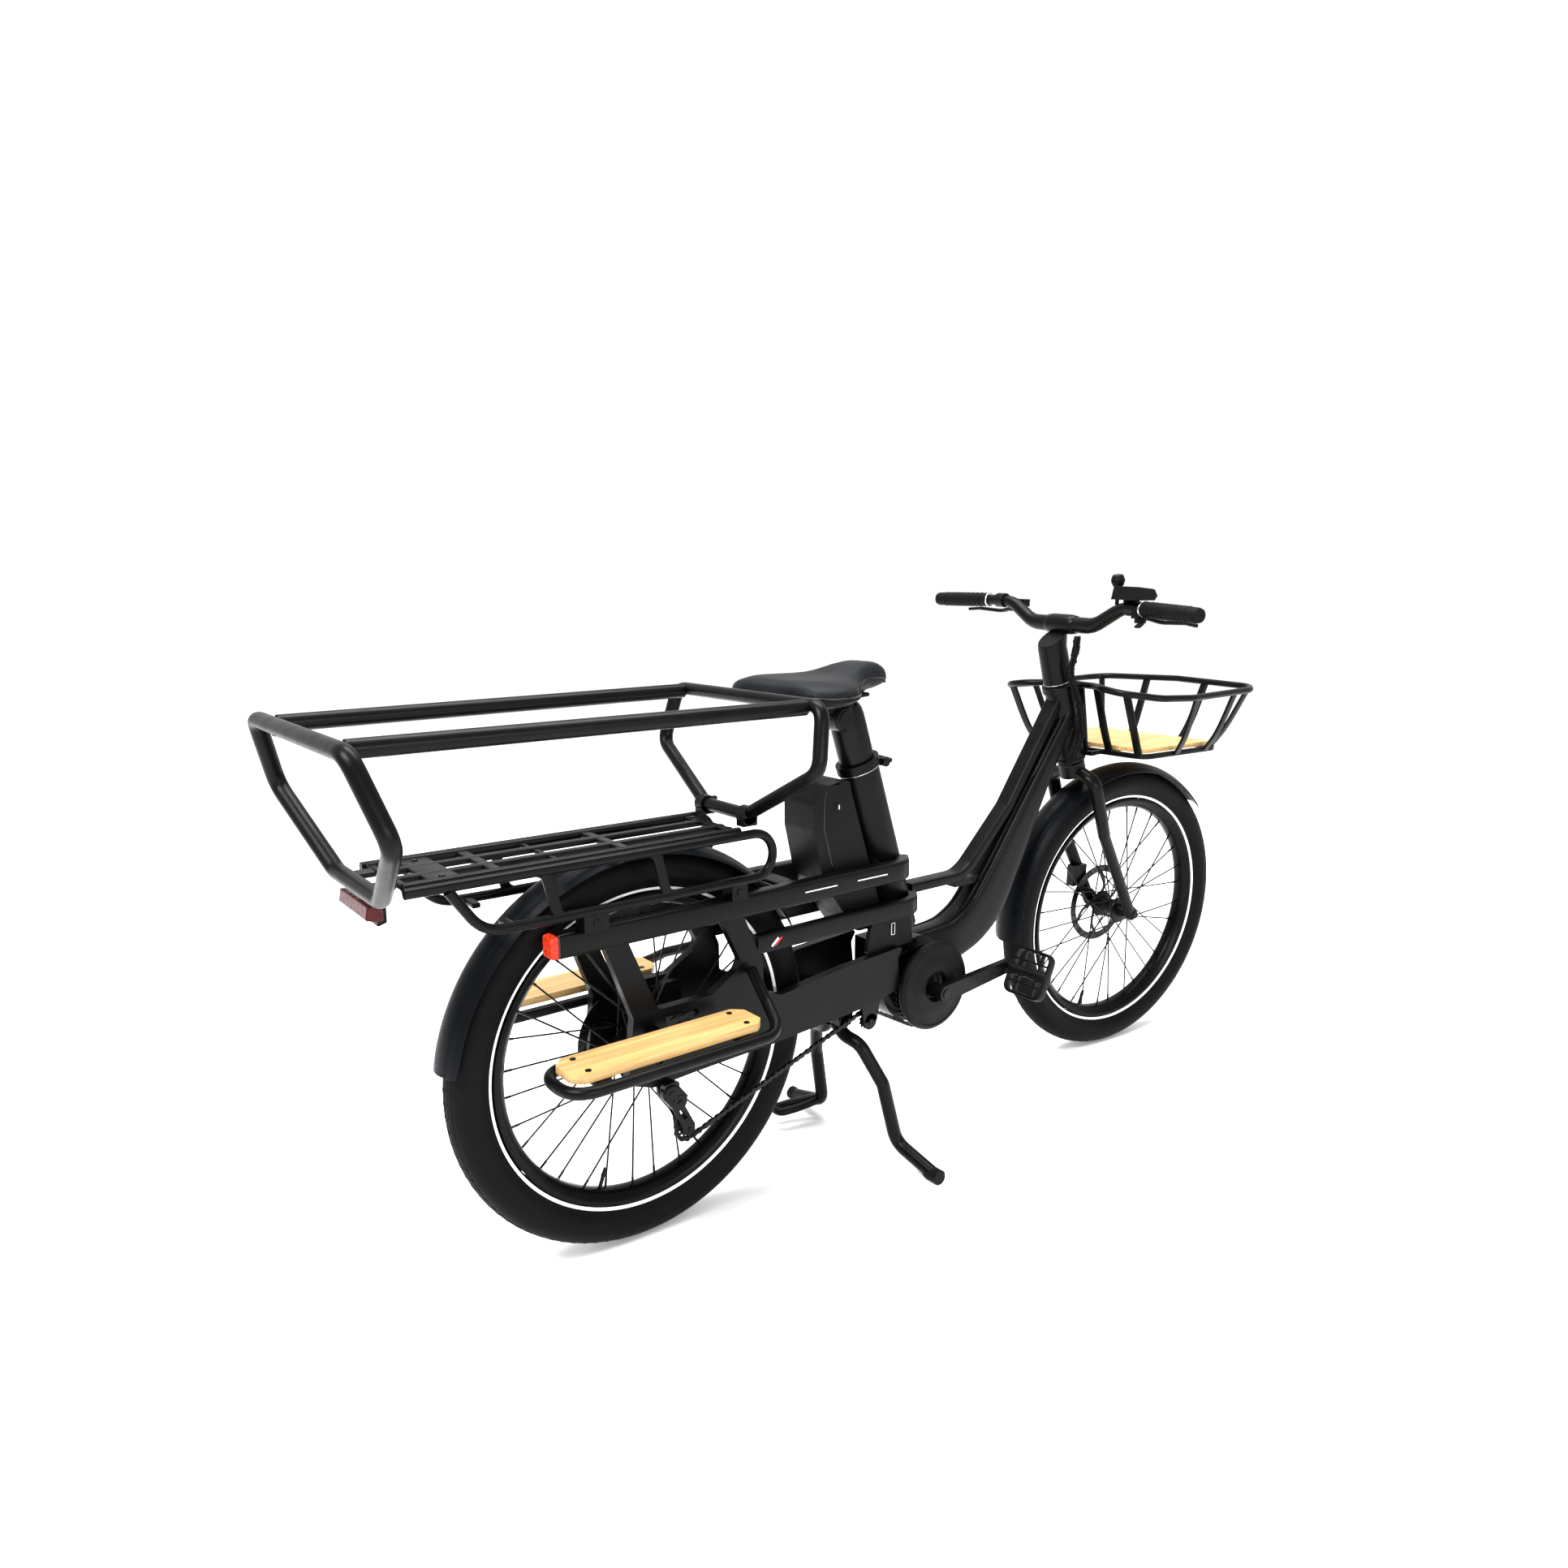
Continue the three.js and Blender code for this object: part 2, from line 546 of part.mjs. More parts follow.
// ---- mudguards ----
function fender(x, from, to, halfWidth) {
  const crown = 16;
  const outer = [-1, -0.7, 0, 0.7, 1];
  const thickness = 2.5;
  const rim = outer.map((s) => new THREE.Vector2(s * halfWidth, crown * s ** 2));
  const inner = outer.map((s) => new THREE.Vector2(s * (halfWidth - thickness), crown * s ** 2 + thickness));
  const section = new THREE.Shape([...rim, ...inner.reverse()]);
  return tube(arc(x, WHEEL_R, FENDER_R, from, to, 18), section);
}
add(frame, 'rear_fender', fender(0, 28, 172, 40), NAVY, 0.5, 0.1);
add(front, 'front_fender', fender(WHEELBASE, 42, 184, 40), NAVY, 0.5, 0.1);

// ---- rack ----
const deckSideY = 71;
function deckBar(y, section = slab(14, 10, 2)) {
  return tube([[-388, y, DECK_Z - 5], [150, y, DECK_Z - 5]], section);
}
const deckCross = (x, w) => block(x, x + w, -deckSideY, deckSideY, DECK_Z - 10, DECK_Z - 1);
const deckInner = [-24, 24].map((y) => deckBar(y));
const deckEdge = [-deckSideY, deckSideY].map((y) => deckBar(y, slab(14, 16, 3)));
const crossPlaces = [[-388, 10], [-350, 44], [-262, 16], [-60, 16], [134, 16]];
const deckCrosses = crossPlaces.map(([x, w]) => deckCross(x, w));
add(frame, 'rack_deck', join(...deckInner, ...deckEdge, ...deckCrosses), BLACK, 0.45, 0.4);

function rackLoop() {
  const y = -87;
  const high = DECK_Z - 8;
  const low = 594;
  const nose = arc(168, (high + low) / 2, (high - low) / 2, 90, -90, 8, y);
  const heel = [[-284, y, low + 2], [-300, y, low + 12], [-330, y, high - 8]];
  const rail = tube([[-392, y, high], ...nose, ...heel], slab(14, 14, 4));
  const strut = (x) => tube([[x - 22, y, high], [x + 6, y, low]], slab(8, 14));
  const foot = (x, w) => block(x, x + w, y - 6, -RAIL.y + 8, RAIL.high + GAP, low - 3);
  const tie = block(-250, -236, y, -deckSideY + 25, low - 6, low + 2);
  return join(rail, strut(-180), strut(0), foot(-140, 40), foot(120, 30), tie);
}
const rightLoop = rackLoop();
add(frame, 'rack_loop_right', rightLoop, BLACK, 0.45, 0.4);
add(frame, 'rack_loop_left', mirrored(rightLoop), BLACK, 0.45, 0.4);

// ---- passenger guard: two hoops and two long rails ----
function hoop(foot, top, outline, radius) {
  const lean = new THREE.Vector3(top[0] - foot[0], 0, top[1] - foot[1]);
  const tall = lean.length();
  const ring = roundedOutline(outline(tall), radius, 3);
  const centre = new THREE.Vector2(0, tall / 2);
  const inner = ring.map((p) => {
    const away = p.clone().sub(centre);
    return centre.clone().addScaledVector(away.normalize(), p.distanceTo(centre) - HOOP.width);
  });
  const geometry = plate(ring, -HOOP.depth / 2, HOOP.depth / 2, { holes: [inner], bevel: 5 });
  geometry.rotateZ(Math.PI / 2);
  geometry.rotateY(Math.atan2(lean.x, lean.z));
  return geometry.translate(foot[0], 0, foot[1]);
}
function hoopOutline(foot, waist, waistShare, top) {
  return (tall) => [
    [-foot, 0], [foot, 0], [waist, tall * waistShare],
    [top, tall], [-top, tall], [-waist, tall * waistShare],
  ];
}
const rearHoopOutline = hoopOutline(98, 262, 0.48, 216);
const frontHoopOutline = hoopOutline(62, 230, 0.45, 210);
const rearHoop = hoop([-419, 655], [-488, 884], rearHoopOutline, 34);
const frontHoop = hoop([172, 682], [215, 888], frontHoopOutline, 34);
const clampY = 62;
const hoopClamps = [-clampY, clampY].map((y) => block(158, 186, y - 11, y + 11, DECK_Z + GAP, 690));
const rearTabs = [-40, 40].map((y) => block(-412, -389, y - 14, y + 14, DECK_Z - 9, DECK_Z - 2));
add(frame, 'rear_hoop', join(rearHoop, ...rearTabs), BLACK, 0.45, 0.4);
add(frame, 'front_hoop', join(frontHoop, ...hoopClamps), BLACK, 0.45, 0.4);
const guardRail = tube([[-467, -152, 870], [200, -170, 874]], oval(24, 24, 12));
add(frame, 'guard_rail_right', guardRail, BLACK, 0.45, 0.4);
add(frame, 'guard_rail_left', mirrored(guardRail), BLACK, 0.45, 0.4);

// ---- lights ----
function tailLight(y) {
  const outline = [[-184, 530], [-180, 526.5], [-168.4, 526.5], [-168.4, 562], [-180, 562], [-184, 558]];
  return plate(outline, y - 13, y + 13);
}
add(frame, 'tail_light_right', tailLight(-RAIL.y), RED, 0.2, 0);
add(frame, 'tail_light_left', tailLight(RAIL.y), RED, 0.2, 0);
const rackLightOutline = [[-434, 616], [-418, 611], [-396, 618], [-396, 646], [-404, 651], [-430, 651]];
const rackLight = plate(rackLightOutline, -60, 60);
add(frame, 'rack_light', rackLight, RED, 0.2, 0);

// ---- footboards ----
const boardOutline = [
  [-214, 134], [-198, 118], [96, 118], [112, 134], [112, 176], [96, 192], [-198, 192], [-214, 176],
];
function lying(outline, low, high) {
  const shape = new THREE.Shape(outline.map(([x, y]) => new THREE.Vector2(x, y)));
  return new THREE.ExtrudeGeometry(shape, { depth: high - low, bevelEnabled: false }).translate(0, 0, low);
}
const board = lying(boardOutline, 388, 400);
function footFrame() {
  const z = 379;
  const section = oval(16, 16, 8);
  const loop = bend([
    [166, 80, 438], [144, 150, 410], [130, 203, z], [-224, 203, z], [-224, 105, z], [112, 105, z],
  ], 34, 3);
  const cross = (x) => block(x - 12, x + 12, 101, 200, 376, 387.5);
  const arm = (x) => block(x - 10, x + 10, STAY.outer + GAP, 108, 374, 384);
  return join(tube(loop, section, UP), cross(-170), cross(70), arm(-20), arm(36));
}
const leftFoot = footFrame();
add(frame, 'footboard_frame_left', leftFoot, BLACK, 0.5, 0.4);
add(frame, 'footboard_frame_right', mirrored(leftFoot), BLACK, 0.5, 0.4);
add(frame, 'footboard_left', board, BAMBOO, 0.5, 0);
add(frame, 'footboard_right', mirrored(board), BAMBOO, 0.5, 0);

// ---- battery: slides along the seat tube, behind it ----
const batteryOutline = roundedOutline([
  [330, 690], [362, 716], [410, 722], [424, 700], [508, 440], [430, 440], [352, 545], [330, 640],
], 14, 2);
const battery = cut(
  plate(batteryOutline, -42, 42, { bevel: 12 }),
  seatTubeOuter(6),
  tube([onSeatAxis(-16), onSeatAxis(4)], oval(72, 90, 20)),
);
add(frame, 'battery', battery, DARK, 0.5, 0.1);

// ---- seat ----
const postTop = onSeatAxis(118);
const head = tube(
  [onSeatAxis(3), onSeatAxis(20), onSeatAxis(70), onSeatAxis(98), onSeatAxis(112)],
  oval(46, 58, 16),
);
const post = tube([onSeatAxis(4), onSeatAxis(-200)], oval(31, 31, 16));
const yoke = join(
  disc(21, postTop.x - 16, postTop.z - 24, -30, 30, 20),
  block(postTop.x - 130, postTop.x + 40, -34, 34, 858, 868),
  block(postTop.x - 60, postTop.x + 8, -22, 22, 836, 862),
);
add(frame, 'seat_post', join(head, post, yoke), DARK, 0.4, 0.4);
const saddlePlan = [
  [258, 0], [262, 92], [286, 132], [332, 138], [374, 108], [412, 62], [450, 40], [500, 32], [520, 0],
];
const saddleRing = [...saddlePlan, ...saddlePlan.slice(1, -1).reverse().map(([x, y]) => [x, -y])];
const saddleSide = [
  [256, 878], [264, 895], [330, 899], [382, 901], [430, 920], [478, 924], [508, 914], [520, 897],
  [500, 884], [440, 878], [380, 872], [264, 869],
];
const saddle = solid(lying(saddleRing, 860, 940)).intersect(solid(plate(saddleSide, -160, 160)));
add(frame, 'saddle', saddle, DARK, 0.7, 0);
const seatLever = join(
  disc(4, 514, 740, -26, 22, 10),
  disc(9, 514, 740, -28, -17, 12),
  tube([[514, -24, 740], [529, -24, 742], [534, -8, 742], [534, 20, 742]], slab(8, 7), UP),
);
add(frame, 'seat_lever', seatLever, DARK, 0.4, 0.5);

// ---- centre stand ----
const pivot = STAND_PIVOT;
function ear(y) {
  const outline = [[pivot.x - 14, 262], [pivot.x + 14, 262], [pivot.x + 22, 300], [pivot.x - 22, 300]];
  return join(plate(outline, y - 3, y + 3), disc(13, pivot.x, pivot.z, y - 3, y + 3, 14));
}
const bracket = join(
  block(372, 448, -40, STAY.inner - GAP, 298, 306),
  ear(-34),
  ear(34),
  disc(5, pivot.x, pivot.z, -38, 38, 12),
);
add(frame, 'stand_bracket', bracket, DARK, 0.5, 0.5);
function standLeg(side) {
  const points = [
    [pivot.x, side * 10, pivot.z - 8], [pivot.x + 6, side * 26, 240], [424, side * 62, 232],
    [452, side * 95, 158], [478, side * 106, 40], [484, side * 200, 13],
  ];
  return join(
    tube(bend(points, 22, 3), oval(22, 22, 8), new THREE.Vector3(1, 0, 0.2)),
    rod([484, side * 188, 13.4], [484, side * 214, 13.4], 13.4, 10),
  );
}
const tang = tube(
  bend([
    [477, 108, 42], [420, 116, 36], [384, 124, 34], [384, 150, 34], [420, 144, 36], [476, 124, 40],
  ], 14, 3),
  oval(12, 12, 6),
  UP,
);
const crossTube = disc(13, pivot.x, pivot.z, -30.5, 30.5, 14);
const stand = cut(
  join(crossTube, standLeg(-1), standLeg(1), tang),
  disc(5.4, pivot.x, pivot.z, -60, 60, 12),
  block(300, 600, -300, 300, -40, 0),
);
add(frame, 'centre_stand', stand, DARK, 0.5, 0.4);

// ---- fork, stem and handlebar, drawn straight ahead inside the turned group ----
const crownTop = onSteerAxis(682);
const crownFoot = onSteerAxis(652);
const steerer = tube([onSteerAxis(930), onSteerAxis(660)], oval(28, 28, 16));
const crown = tube([crownTop, crownFoot], oval(52, 56, 16));
function forkLeg(side) {
  const top = onSteerAxis(664);
  const shoulder = onSteerAxis(640);
  const route = bend([
    [top.x, side * 10, top.z], [shoulder.x - 2, side * 62, shoulder.z + 4],
    [shoulder.x + 40, side * 62, 520], [WHEELBASE - 4, side * 60, WHEEL_R],
  ], 26, 3);
  return join(
    tube(route, oval(26, 34, 10), new THREE.Vector3(0, 1, 0.4)),
    disc(14, WHEELBASE, WHEEL_R, side < 0 ? -66 : 52, side < 0 ? -52 : 66, 16),
  );
}
const caliperFront = block(WHEELBASE - 84, WHEELBASE - 40, 42, 64, 372, 424);
const fork = cut(
  join(steerer, crown, forkLeg(-1), forkLeg(1), cut(caliperFront, disc(92, WHEELBASE, WHEEL_R, 30, 39, 30))),
  disc(5.4, WHEELBASE, WHEEL_R, -80, 80, 12),
  tube(arc(WHEELBASE, WHEEL_R, FENDER_R - 8, 50, 170, 16), slab(84, 24)),
);
add(front, 'fork', fork, BLACK, 0.45, 0.4);

const barCentre = { x: 1031, z: 977 };
const columnRoute = [onSteerAxis(857), onSteerAxis(952), onSteerAxis(986)];
const column = tube(columnRoute, oval(56, 66, 20));
const topSlope = new THREE.BoxGeometry(200, 200, 60);
topSlope.rotateY(0.42);
topSlope.translate(onSteerAxis(960).x, 0, 1000);
const barClamp = disc(25, barCentre.x, barCentre.z, -34, 34, 20);
const stemBore = tube([onSteerAxis(800), onSteerAxis(930.5)], oval(28.8, 28.8, 16));
const barBore = disc(16.3, barCentre.x, barCentre.z, -60, 60, 20);
const stem = cut(join(cut(column, topSlope), barClamp), stemBore, barBore);
add(front, 'stem', stem, BLACK, 0.45, 0.4);

const barRoutePoints = (side) => [
  [barCentre.x, 0, barCentre.z], [barCentre.x, side * 84, barCentre.z], [1034, side * 152, 1017],
  [1024, side * 200, 1018], [1000, side * 345, 1014],
];
const barHalf = (side) => bend(barRoutePoints(side), 60, 3);
const barWhole = [...barHalf(-1).reverse(), ...barHalf(1).slice(1)];
function gripEnd(side) {
  return tube([[1021.5, side * 215, 1017.6], [998, side * 357, 1013.7]], oval(31, 31, 12), UP);
}
function gripBore(side) {
  return tube([[1027, side * 182, 1018.5], [999.9, side * 345.5, 1014]], oval(22.9, 22.9, 12), UP);
}
const handlebar = tube(barWhole, oval(22, 22, 8), UP);
const clampSleeve = disc(15.8, barCentre.x, barCentre.z, -36, 36, 20);
add(front, 'grip_right', cut(gripEnd(-1), gripBore(-1)), RUBBER, 0.8, 0);
add(front, 'grip_left', cut(gripEnd(1), gripBore(1)), RUBBER, 0.8, 0);

// ---- controls on the bar ----
function leverPerch(side) {
  return { x: 1029, y: side * 180, z: 1018 };
}
function brakeLever(side) {
  const { x, y, z } = leverPerch(side);
  const blade = [
    [x + 36, y + side * 4, z - 18], [x + 42, y + side * 40, z - 26], [x + 24, y + side * 130, z - 24],
  ];
  return join(
    tube(bend(blade, 60, 4), slab(9, 12, 2), UP),
    rod([x + 36, y, z - 25], [x + 36, y, z - 11], 8, 12),
  );
}
function leverBody(side) {
  const { x, y, z } = leverPerch(side);
  return join(
    block(x + 2, x + 24, y - 12, y + 12, z - 12, z + 8),
    block(x + 22, x + 46, y - 9, y + 9, z - 10.6, z + 2),
  );
}
const shiftPod = block(1008, 1036, -210, -194, 999.4, 1014);
const displayFoot = block(1018, 1036, -172, -164, 1020, 1033.6);
const bellFoot = disc(13, 1033, 1008, -142, -130, 14);
const barParts = [handlebar, clampSleeve, leverBody(-1), leverBody(1), shiftPod, displayFoot, bellFoot];
add(front, 'handlebar', join(...barParts), BLACK, 0.4, 0.4);
add(front, 'brake_lever_right', brakeLever(-1), DARK, 0.4, 0.5);
add(front, 'brake_lever_left', brakeLever(1), DARK, 0.4, 0.5);
const displayOutline = [[998, 1034], [1056, 1034], [1064, 1044], [1054, 1056], [1004, 1060]];
const displayBody = plate(displayOutline, -210, -150, { bevel: 4 });
add(front, 'display', displayBody, DARK, 0.3, 0.1);
const bell = join(
  rod([1034, -136, 1022], [1032, -138, 1064], 4, 8),
  rod([1030, -139, 1060], [1026, -140, 1082], 14, 14, 12),
);
add(front, 'bell', bell, DARK, 0.4, 0.4);
const shiftLever = join(
  rod([1022, -206, 999], [1022, -206, 991], 11, 12),
  tube([[1022, -206, 995], [1006, -222, 991], [986, -230, 986]], slab(5, 12), UP),
);
add(front, 'shift_lever', shiftLever, DARK, 0.5, 0.3);
const cables = tube(
  bend([
    [1011, -62, 955], [1022, -50, 925], [1014, -45, 878], [1054, -44, 809],
    [1065, -45, 748], [1042, -45, 700], [1022, -45, 682],
  ], 40, 3),
  oval(14, 14, 6),
  new THREE.Vector3(1, 0, 0),
);
add(front, 'control_cables', cables, RUBBER, 0.7, 0);

// ---- basket, fixed to the head tube ----
const rimZ = 832;
const rimCorners = [
  [1092, 0, 848], [1078, -60, 848], [1050, -98, 847], [1050, -142, 841], [1110, -196, 831], [1200, -212, 828],
  [1420, -212, 832], [1460, -188, 835], [1472, 0, 840],
];
const rimHalf = bend(rimCorners, 26, 2);
const rimOther = rimHalf.slice(0, -1).map((p) => new THREE.Vector3(p.x, -p.y, p.z)).reverse();
const rimRoute = [...rimHalf, ...rimOther.slice(0, -1), new THREE.Vector3(1092, 0.6, 848)];
const rimTube = tube(rimRoute, oval(14, 14, 6), UP);
const baseZ = 702;
const baseCorners = [[1134, -150], [1134, 150], [1400, 166], [1400, -166]];
const baseFrame = lying(baseCorners, baseZ - 5, baseZ + 5);
const baseHole = lying([[1146, -138], [1146, 138], [1388, 153], [1388, -153]], baseZ - 9, baseZ + 9);
const baseRing = join(
  cut(baseFrame, baseHole),
  block(1100, 1396, -46, -34, baseZ - 5, baseZ + 4),
  block(1100, 1396, 34, 46, baseZ - 5, baseZ + 4),
);
function slat(top, foot) {
  const below = [foot[0], foot[1], baseZ];
  const along = Math.abs(foot[1]) > 140 ? new THREE.Vector3(1, 0, 0) : ACROSS;
  return tube([top, below], slab(18, 6), along);
}
const slats = [-1, 1].flatMap((side) => [
  slat([1060, side * 148, 840], [1139, side * 132]),
  slat([1217, side * 211, 829], [1240, side * 156]),
  slat([1362, side * 211, 831], [1340, side * 162]),
  slat([1450, side * 192, 835], [1394, side * 142]),
  slat([1470, side * 76, 839], [1395, side * 64]),
  slat([1074, side * 66, 847], [1139, side * 60]),
]);
const headStay = join(
  block(1062, 1100, -22, 22, 840, 850),
  tube([[1116, 0, baseZ], [1108, 0, 760], [1092, 0, 846]], slab(40, 8)),
  block(1096, 1110, -46, 46, baseZ - 5, baseZ + 4),
);
const collarRoom = tube([onSteerAxis(900), onSteerAxis(660)], oval(67, 75, 20));
const basket = cut(join(rimTube, baseRing, headStay, ...slats), collarRoom);
add(frame, 'basket_frame', basket, BLACK, 0.45, 0.4);
const floorOutline = [[1152, -136], [1152, 136], [1384, 150], [1384, -150]];
const floorBoard = lying(floorOutline, baseZ + 5 + GAP, baseZ + 15);
add(frame, 'basket_floor', floorBoard, BAMBOO, 0.5, 0);

export default bicycle;
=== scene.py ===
"""A long-tail cargo bicycle: the looks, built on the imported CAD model."""

import math

import bpy
from mathutils import Matrix, Vector
from mathutils.geometry import tessellate_polygon


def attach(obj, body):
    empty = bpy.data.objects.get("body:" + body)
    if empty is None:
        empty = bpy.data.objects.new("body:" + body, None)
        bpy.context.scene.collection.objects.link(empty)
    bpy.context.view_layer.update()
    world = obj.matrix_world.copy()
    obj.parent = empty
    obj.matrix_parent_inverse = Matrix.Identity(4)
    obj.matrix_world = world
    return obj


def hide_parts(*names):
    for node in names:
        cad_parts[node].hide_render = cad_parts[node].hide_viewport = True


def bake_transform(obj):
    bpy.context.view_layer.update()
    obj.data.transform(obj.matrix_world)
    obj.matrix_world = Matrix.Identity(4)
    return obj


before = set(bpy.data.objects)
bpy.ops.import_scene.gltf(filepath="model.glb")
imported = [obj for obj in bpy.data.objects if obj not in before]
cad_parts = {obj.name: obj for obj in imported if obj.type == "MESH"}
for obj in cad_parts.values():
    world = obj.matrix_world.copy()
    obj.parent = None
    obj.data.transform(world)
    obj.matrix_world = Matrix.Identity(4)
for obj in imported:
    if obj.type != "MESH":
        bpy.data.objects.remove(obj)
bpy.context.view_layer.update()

# Everything below is drawn in millimetres: x forward from the rear axle, y to the left, z up.
CENTRE_X = 539
WHEEL_R = 325
TYRE_R = 31.7
WHEELBASE = 1253
HEAD_ANGLE = math.radians(72)
STEER_AT_REST = math.radians(-5.85)
STEER_AXIS = Vector((-math.cos(HEAD_ANGLE), 0, math.sin(HEAD_ANGLE)))
STEER_POINT = Vector((WHEELBASE - 48 * math.sin(HEAD_ANGLE), 0, WHEEL_R - 48 * math.cos(HEAD_ANGLE)))
MOTOR = (593, 311)
CRANK = (597, 302)
CRANK_ANGLE = math.radians(5)
DECK_Z = 675
X = Vector((1, 0, 0))
Y = Vector((0, 1, 0))
Z = Vector((0, 0, 1))
IDLER = (450, 269)
UPPER_JOCKEY = (20, 256)
LOWER_JOCKEY = (55, 183.3)
STAND_PIVOT = (410, 270)
BAR_Y = 180  # where the brake levers are clamped to the handlebar
CHAIN_Y = -49
CRANK_LENGTH = 175


def turn_matrix():
    there = Matrix.Translation(STEER_POINT)
    return there @ Matrix.Rotation(STEER_AT_REST, 4, STEER_AXIS) @ there.inverted()


STEER = turn_matrix()
TO_METRES = Matrix.Scale(0.001, 4) @ Matrix.Translation((-CENTRE_X, 0, 0))


def on_steer_axis(z):
    return STEER_POINT + STEER_AXIS * ((z - STEER_POINT.z) / STEER_AXIS.z)


SEAT_TOP = Vector((464, 0, 745))
SEAT_DIRECTION = (SEAT_TOP - Vector((575, 0, 408))).normalized()


def on_seat_axis(distance):
    return SEAT_TOP + SEAT_DIRECTION * distance


# ---------------------------------------------------------------- shapes
# A shape is a pair (vertices, faces). Its faces look outward.


def merge(*shapes):
    verts, faces = [], []
    for v, f in shapes:
        start = len(verts)
        verts += v
        faces += [tuple(i + start for i in face) for face in f]
    return verts, faces


def mirrored(shape):
    verts, faces = shape
    return [Vector((v.x, -v.y, v.z)) for v in verts], [tuple(reversed(f)) for f in faces]


def same(shape):
    return shape


def both(shape):
    return merge(shape, mirrored(shape))


def moved(shape, matrix):
    verts, faces = shape
    return [matrix @ v for v in verts], faces


def bend(corners, radius, steps=8):
    """A path through the corners, each one rounded."""
    points = [Vector(c) for c in corners]
    path = [points[0]]
    for before, at, after in zip(points, points[1:], points[2:]):
        into, out = at - before, after - at
        angle = into.angle(out, 0)
        if angle < 1e-4:
            continue
        reach = min(radius * math.tan(angle / 2), 0.49 * into.length, 0.49 * out.length)
        a, b = at - into.normalized() * reach, at + out.normalized() * reach
        for i in range(steps + 1):
            t = i / steps
            path.append(a * (1 - t) ** 2 + at * (2 * t * (1 - t)) + b * t * t)
    path.append(points[-1])
    return path


def ring_path(corners, radius, steps=8):
    points = [Vector(c) for c in corners]
    return bend([*points, points[0], points[1]], radius, steps)[1:-1]


def rounded(corners, radius, steps):
    """A flat figure with round corners."""
    return [(p.x, p.y) for p in ring_path([(u, v, 0) for u, v in corners], radius, steps)]


def spline(corners, steps=6):
    """A smooth path that passes through every corner."""
    points = [Vector(c) for c in corners]
    ends = [points[0] * 2 - points[1], *points, points[-1] * 2 - points[-2]]
    path = []
    for a, b, c, d in zip(ends, ends[1:], ends[2:], ends[3:]):
        for i in range(steps):
            t = i / steps
            square, cube = (2 * a - 5 * b + 4 * c - d) * t**2, (3 * b - a - 3 * c + d) * t**3
            path.append(0.5 * (2 * b + (c - a) * t + square + cube))
    return [*path, points[-1]]


def oval(width, height, sides=28):
    return [
        (width / 2 * math.cos(2 * math.pi * i / sides), height / 2 * math.sin(2 * math.pi * i / sides))
        for i in range(sides)
    ]


def box_section(width, height, corner, steps=4):
    """A rectangle with round corners, counter-clockwise."""
    section = []
    for quarter, (sx, sy) in enumerate(((1, 1), (-1, 1), (-1, -1), (1, -1))):
        for i in range(steps + 1):
            angle = math.pi / 2 * (quarter + i / steps)
            section.append((
                sx * (width / 2 - corner) + corner * math.cos(angle),
                sy * (height / 2 - corner) + corner * math.sin(angle),
            ))
    return section


def sweep(path, section, side=Y, closed=False, size=None):
    """The section drawn along the path; its first axis follows the side vector."""
    path = [Vector(p) for p in path]
    count, sides = len(path), len(section)
    verts, faces = [], []
    for i, point in enumerate(path):
        before = path[i - 1] if closed or i else point
        after = path[(i + 1) % count] if closed or i < count - 1 else point
        along = ((point - before).normalized() + (after - point).normalized()).normalized()
        across = (side - along * side.dot(along)).normalized()
        up = along.cross(across)
        k = size(i / (count - 1)) if size else 1
        verts += [point + across * (u * k) + up * (v * k) for u, v in section]
    for i in range(count if closed else count - 1):
        j = (i + 1) % count
        for k in range(sides):
            m = (k + 1) % sides
            faces.append((i * sides + k, i * sides + m, j * sides + m, j * sides + k))
    if not closed:
        faces.append(tuple(reversed(range(sides))))
        faces.append(tuple((count - 1) * sides + k for k in range(sides)))
    return verts, faces


def lathe(profile, x, z, steps=96, y=0):
    """A [(radius, y)] profile turned about a line across the bicycle; it closes on itself."""
    count = len(profile)
    verts, faces = [], []
    for i in range(steps):
        a = 2 * math.pi * i / steps
        verts += [Vector((x + r * math.cos(a), y + h, z + r * math.sin(a))) for r, h in profile]
    for i in range(steps):
        j = (i + 1) % steps
        for k in range(count):
            m = (k + 1) % count
            faces.append((i * count + k, i * count + m, j * count + m, j * count + k))
    return verts, faces


def plate(outline, low, high, holes=()):
    """A figure in x and z, from y = low to y = high."""
    loops = [[Vector((u, v, 0)) for u, v in loop] for loop in (outline, *holes)]
    flat = [p for loop in loops for p in loop]
    n = len(flat)
    verts = [Vector((p.x, low, p.y)) for p in flat] + [Vector((p.x, high, p.y)) for p in flat]
    faces = []
    for a, b, c in tessellate_polygon(loops):
        area = (flat[b] - flat[a]).cross(flat[c] - flat[a]).z
        near = (a, b, c) if area > 0 else (a, c, b)
        faces.append(near)
        faces.append(tuple(n + i for i in reversed(near)))
    start = 0
    for number, loop in enumerate(loops):
        area = sum(p.x * q.y - q.x * p.y for p, q in zip(loop, [*loop[1:], loop[0]]))
        forward = (area > 0) == (number == 0)
        for i in range(len(loop)):
            a, b = start + i, start + (i + 1) % len(loop)
            faces.append((b, a, a + n, b + n) if forward else (a, b, b + n, a + n))
        start += len(loop)
    return verts, faces


def lying(outline, low, high):
    verts, faces = plate([(x, y) for x, y in outline], low, high)
    return [Vector((v.x, v.z, v.y)) for v in verts], [tuple(reversed(f)) for f in faces]


def block(x0, x1, y0, y1, z0, z1):
    return plate([(x0, z0), (x1, z0), (x1, z1), (x0, z1)], y0, y1)


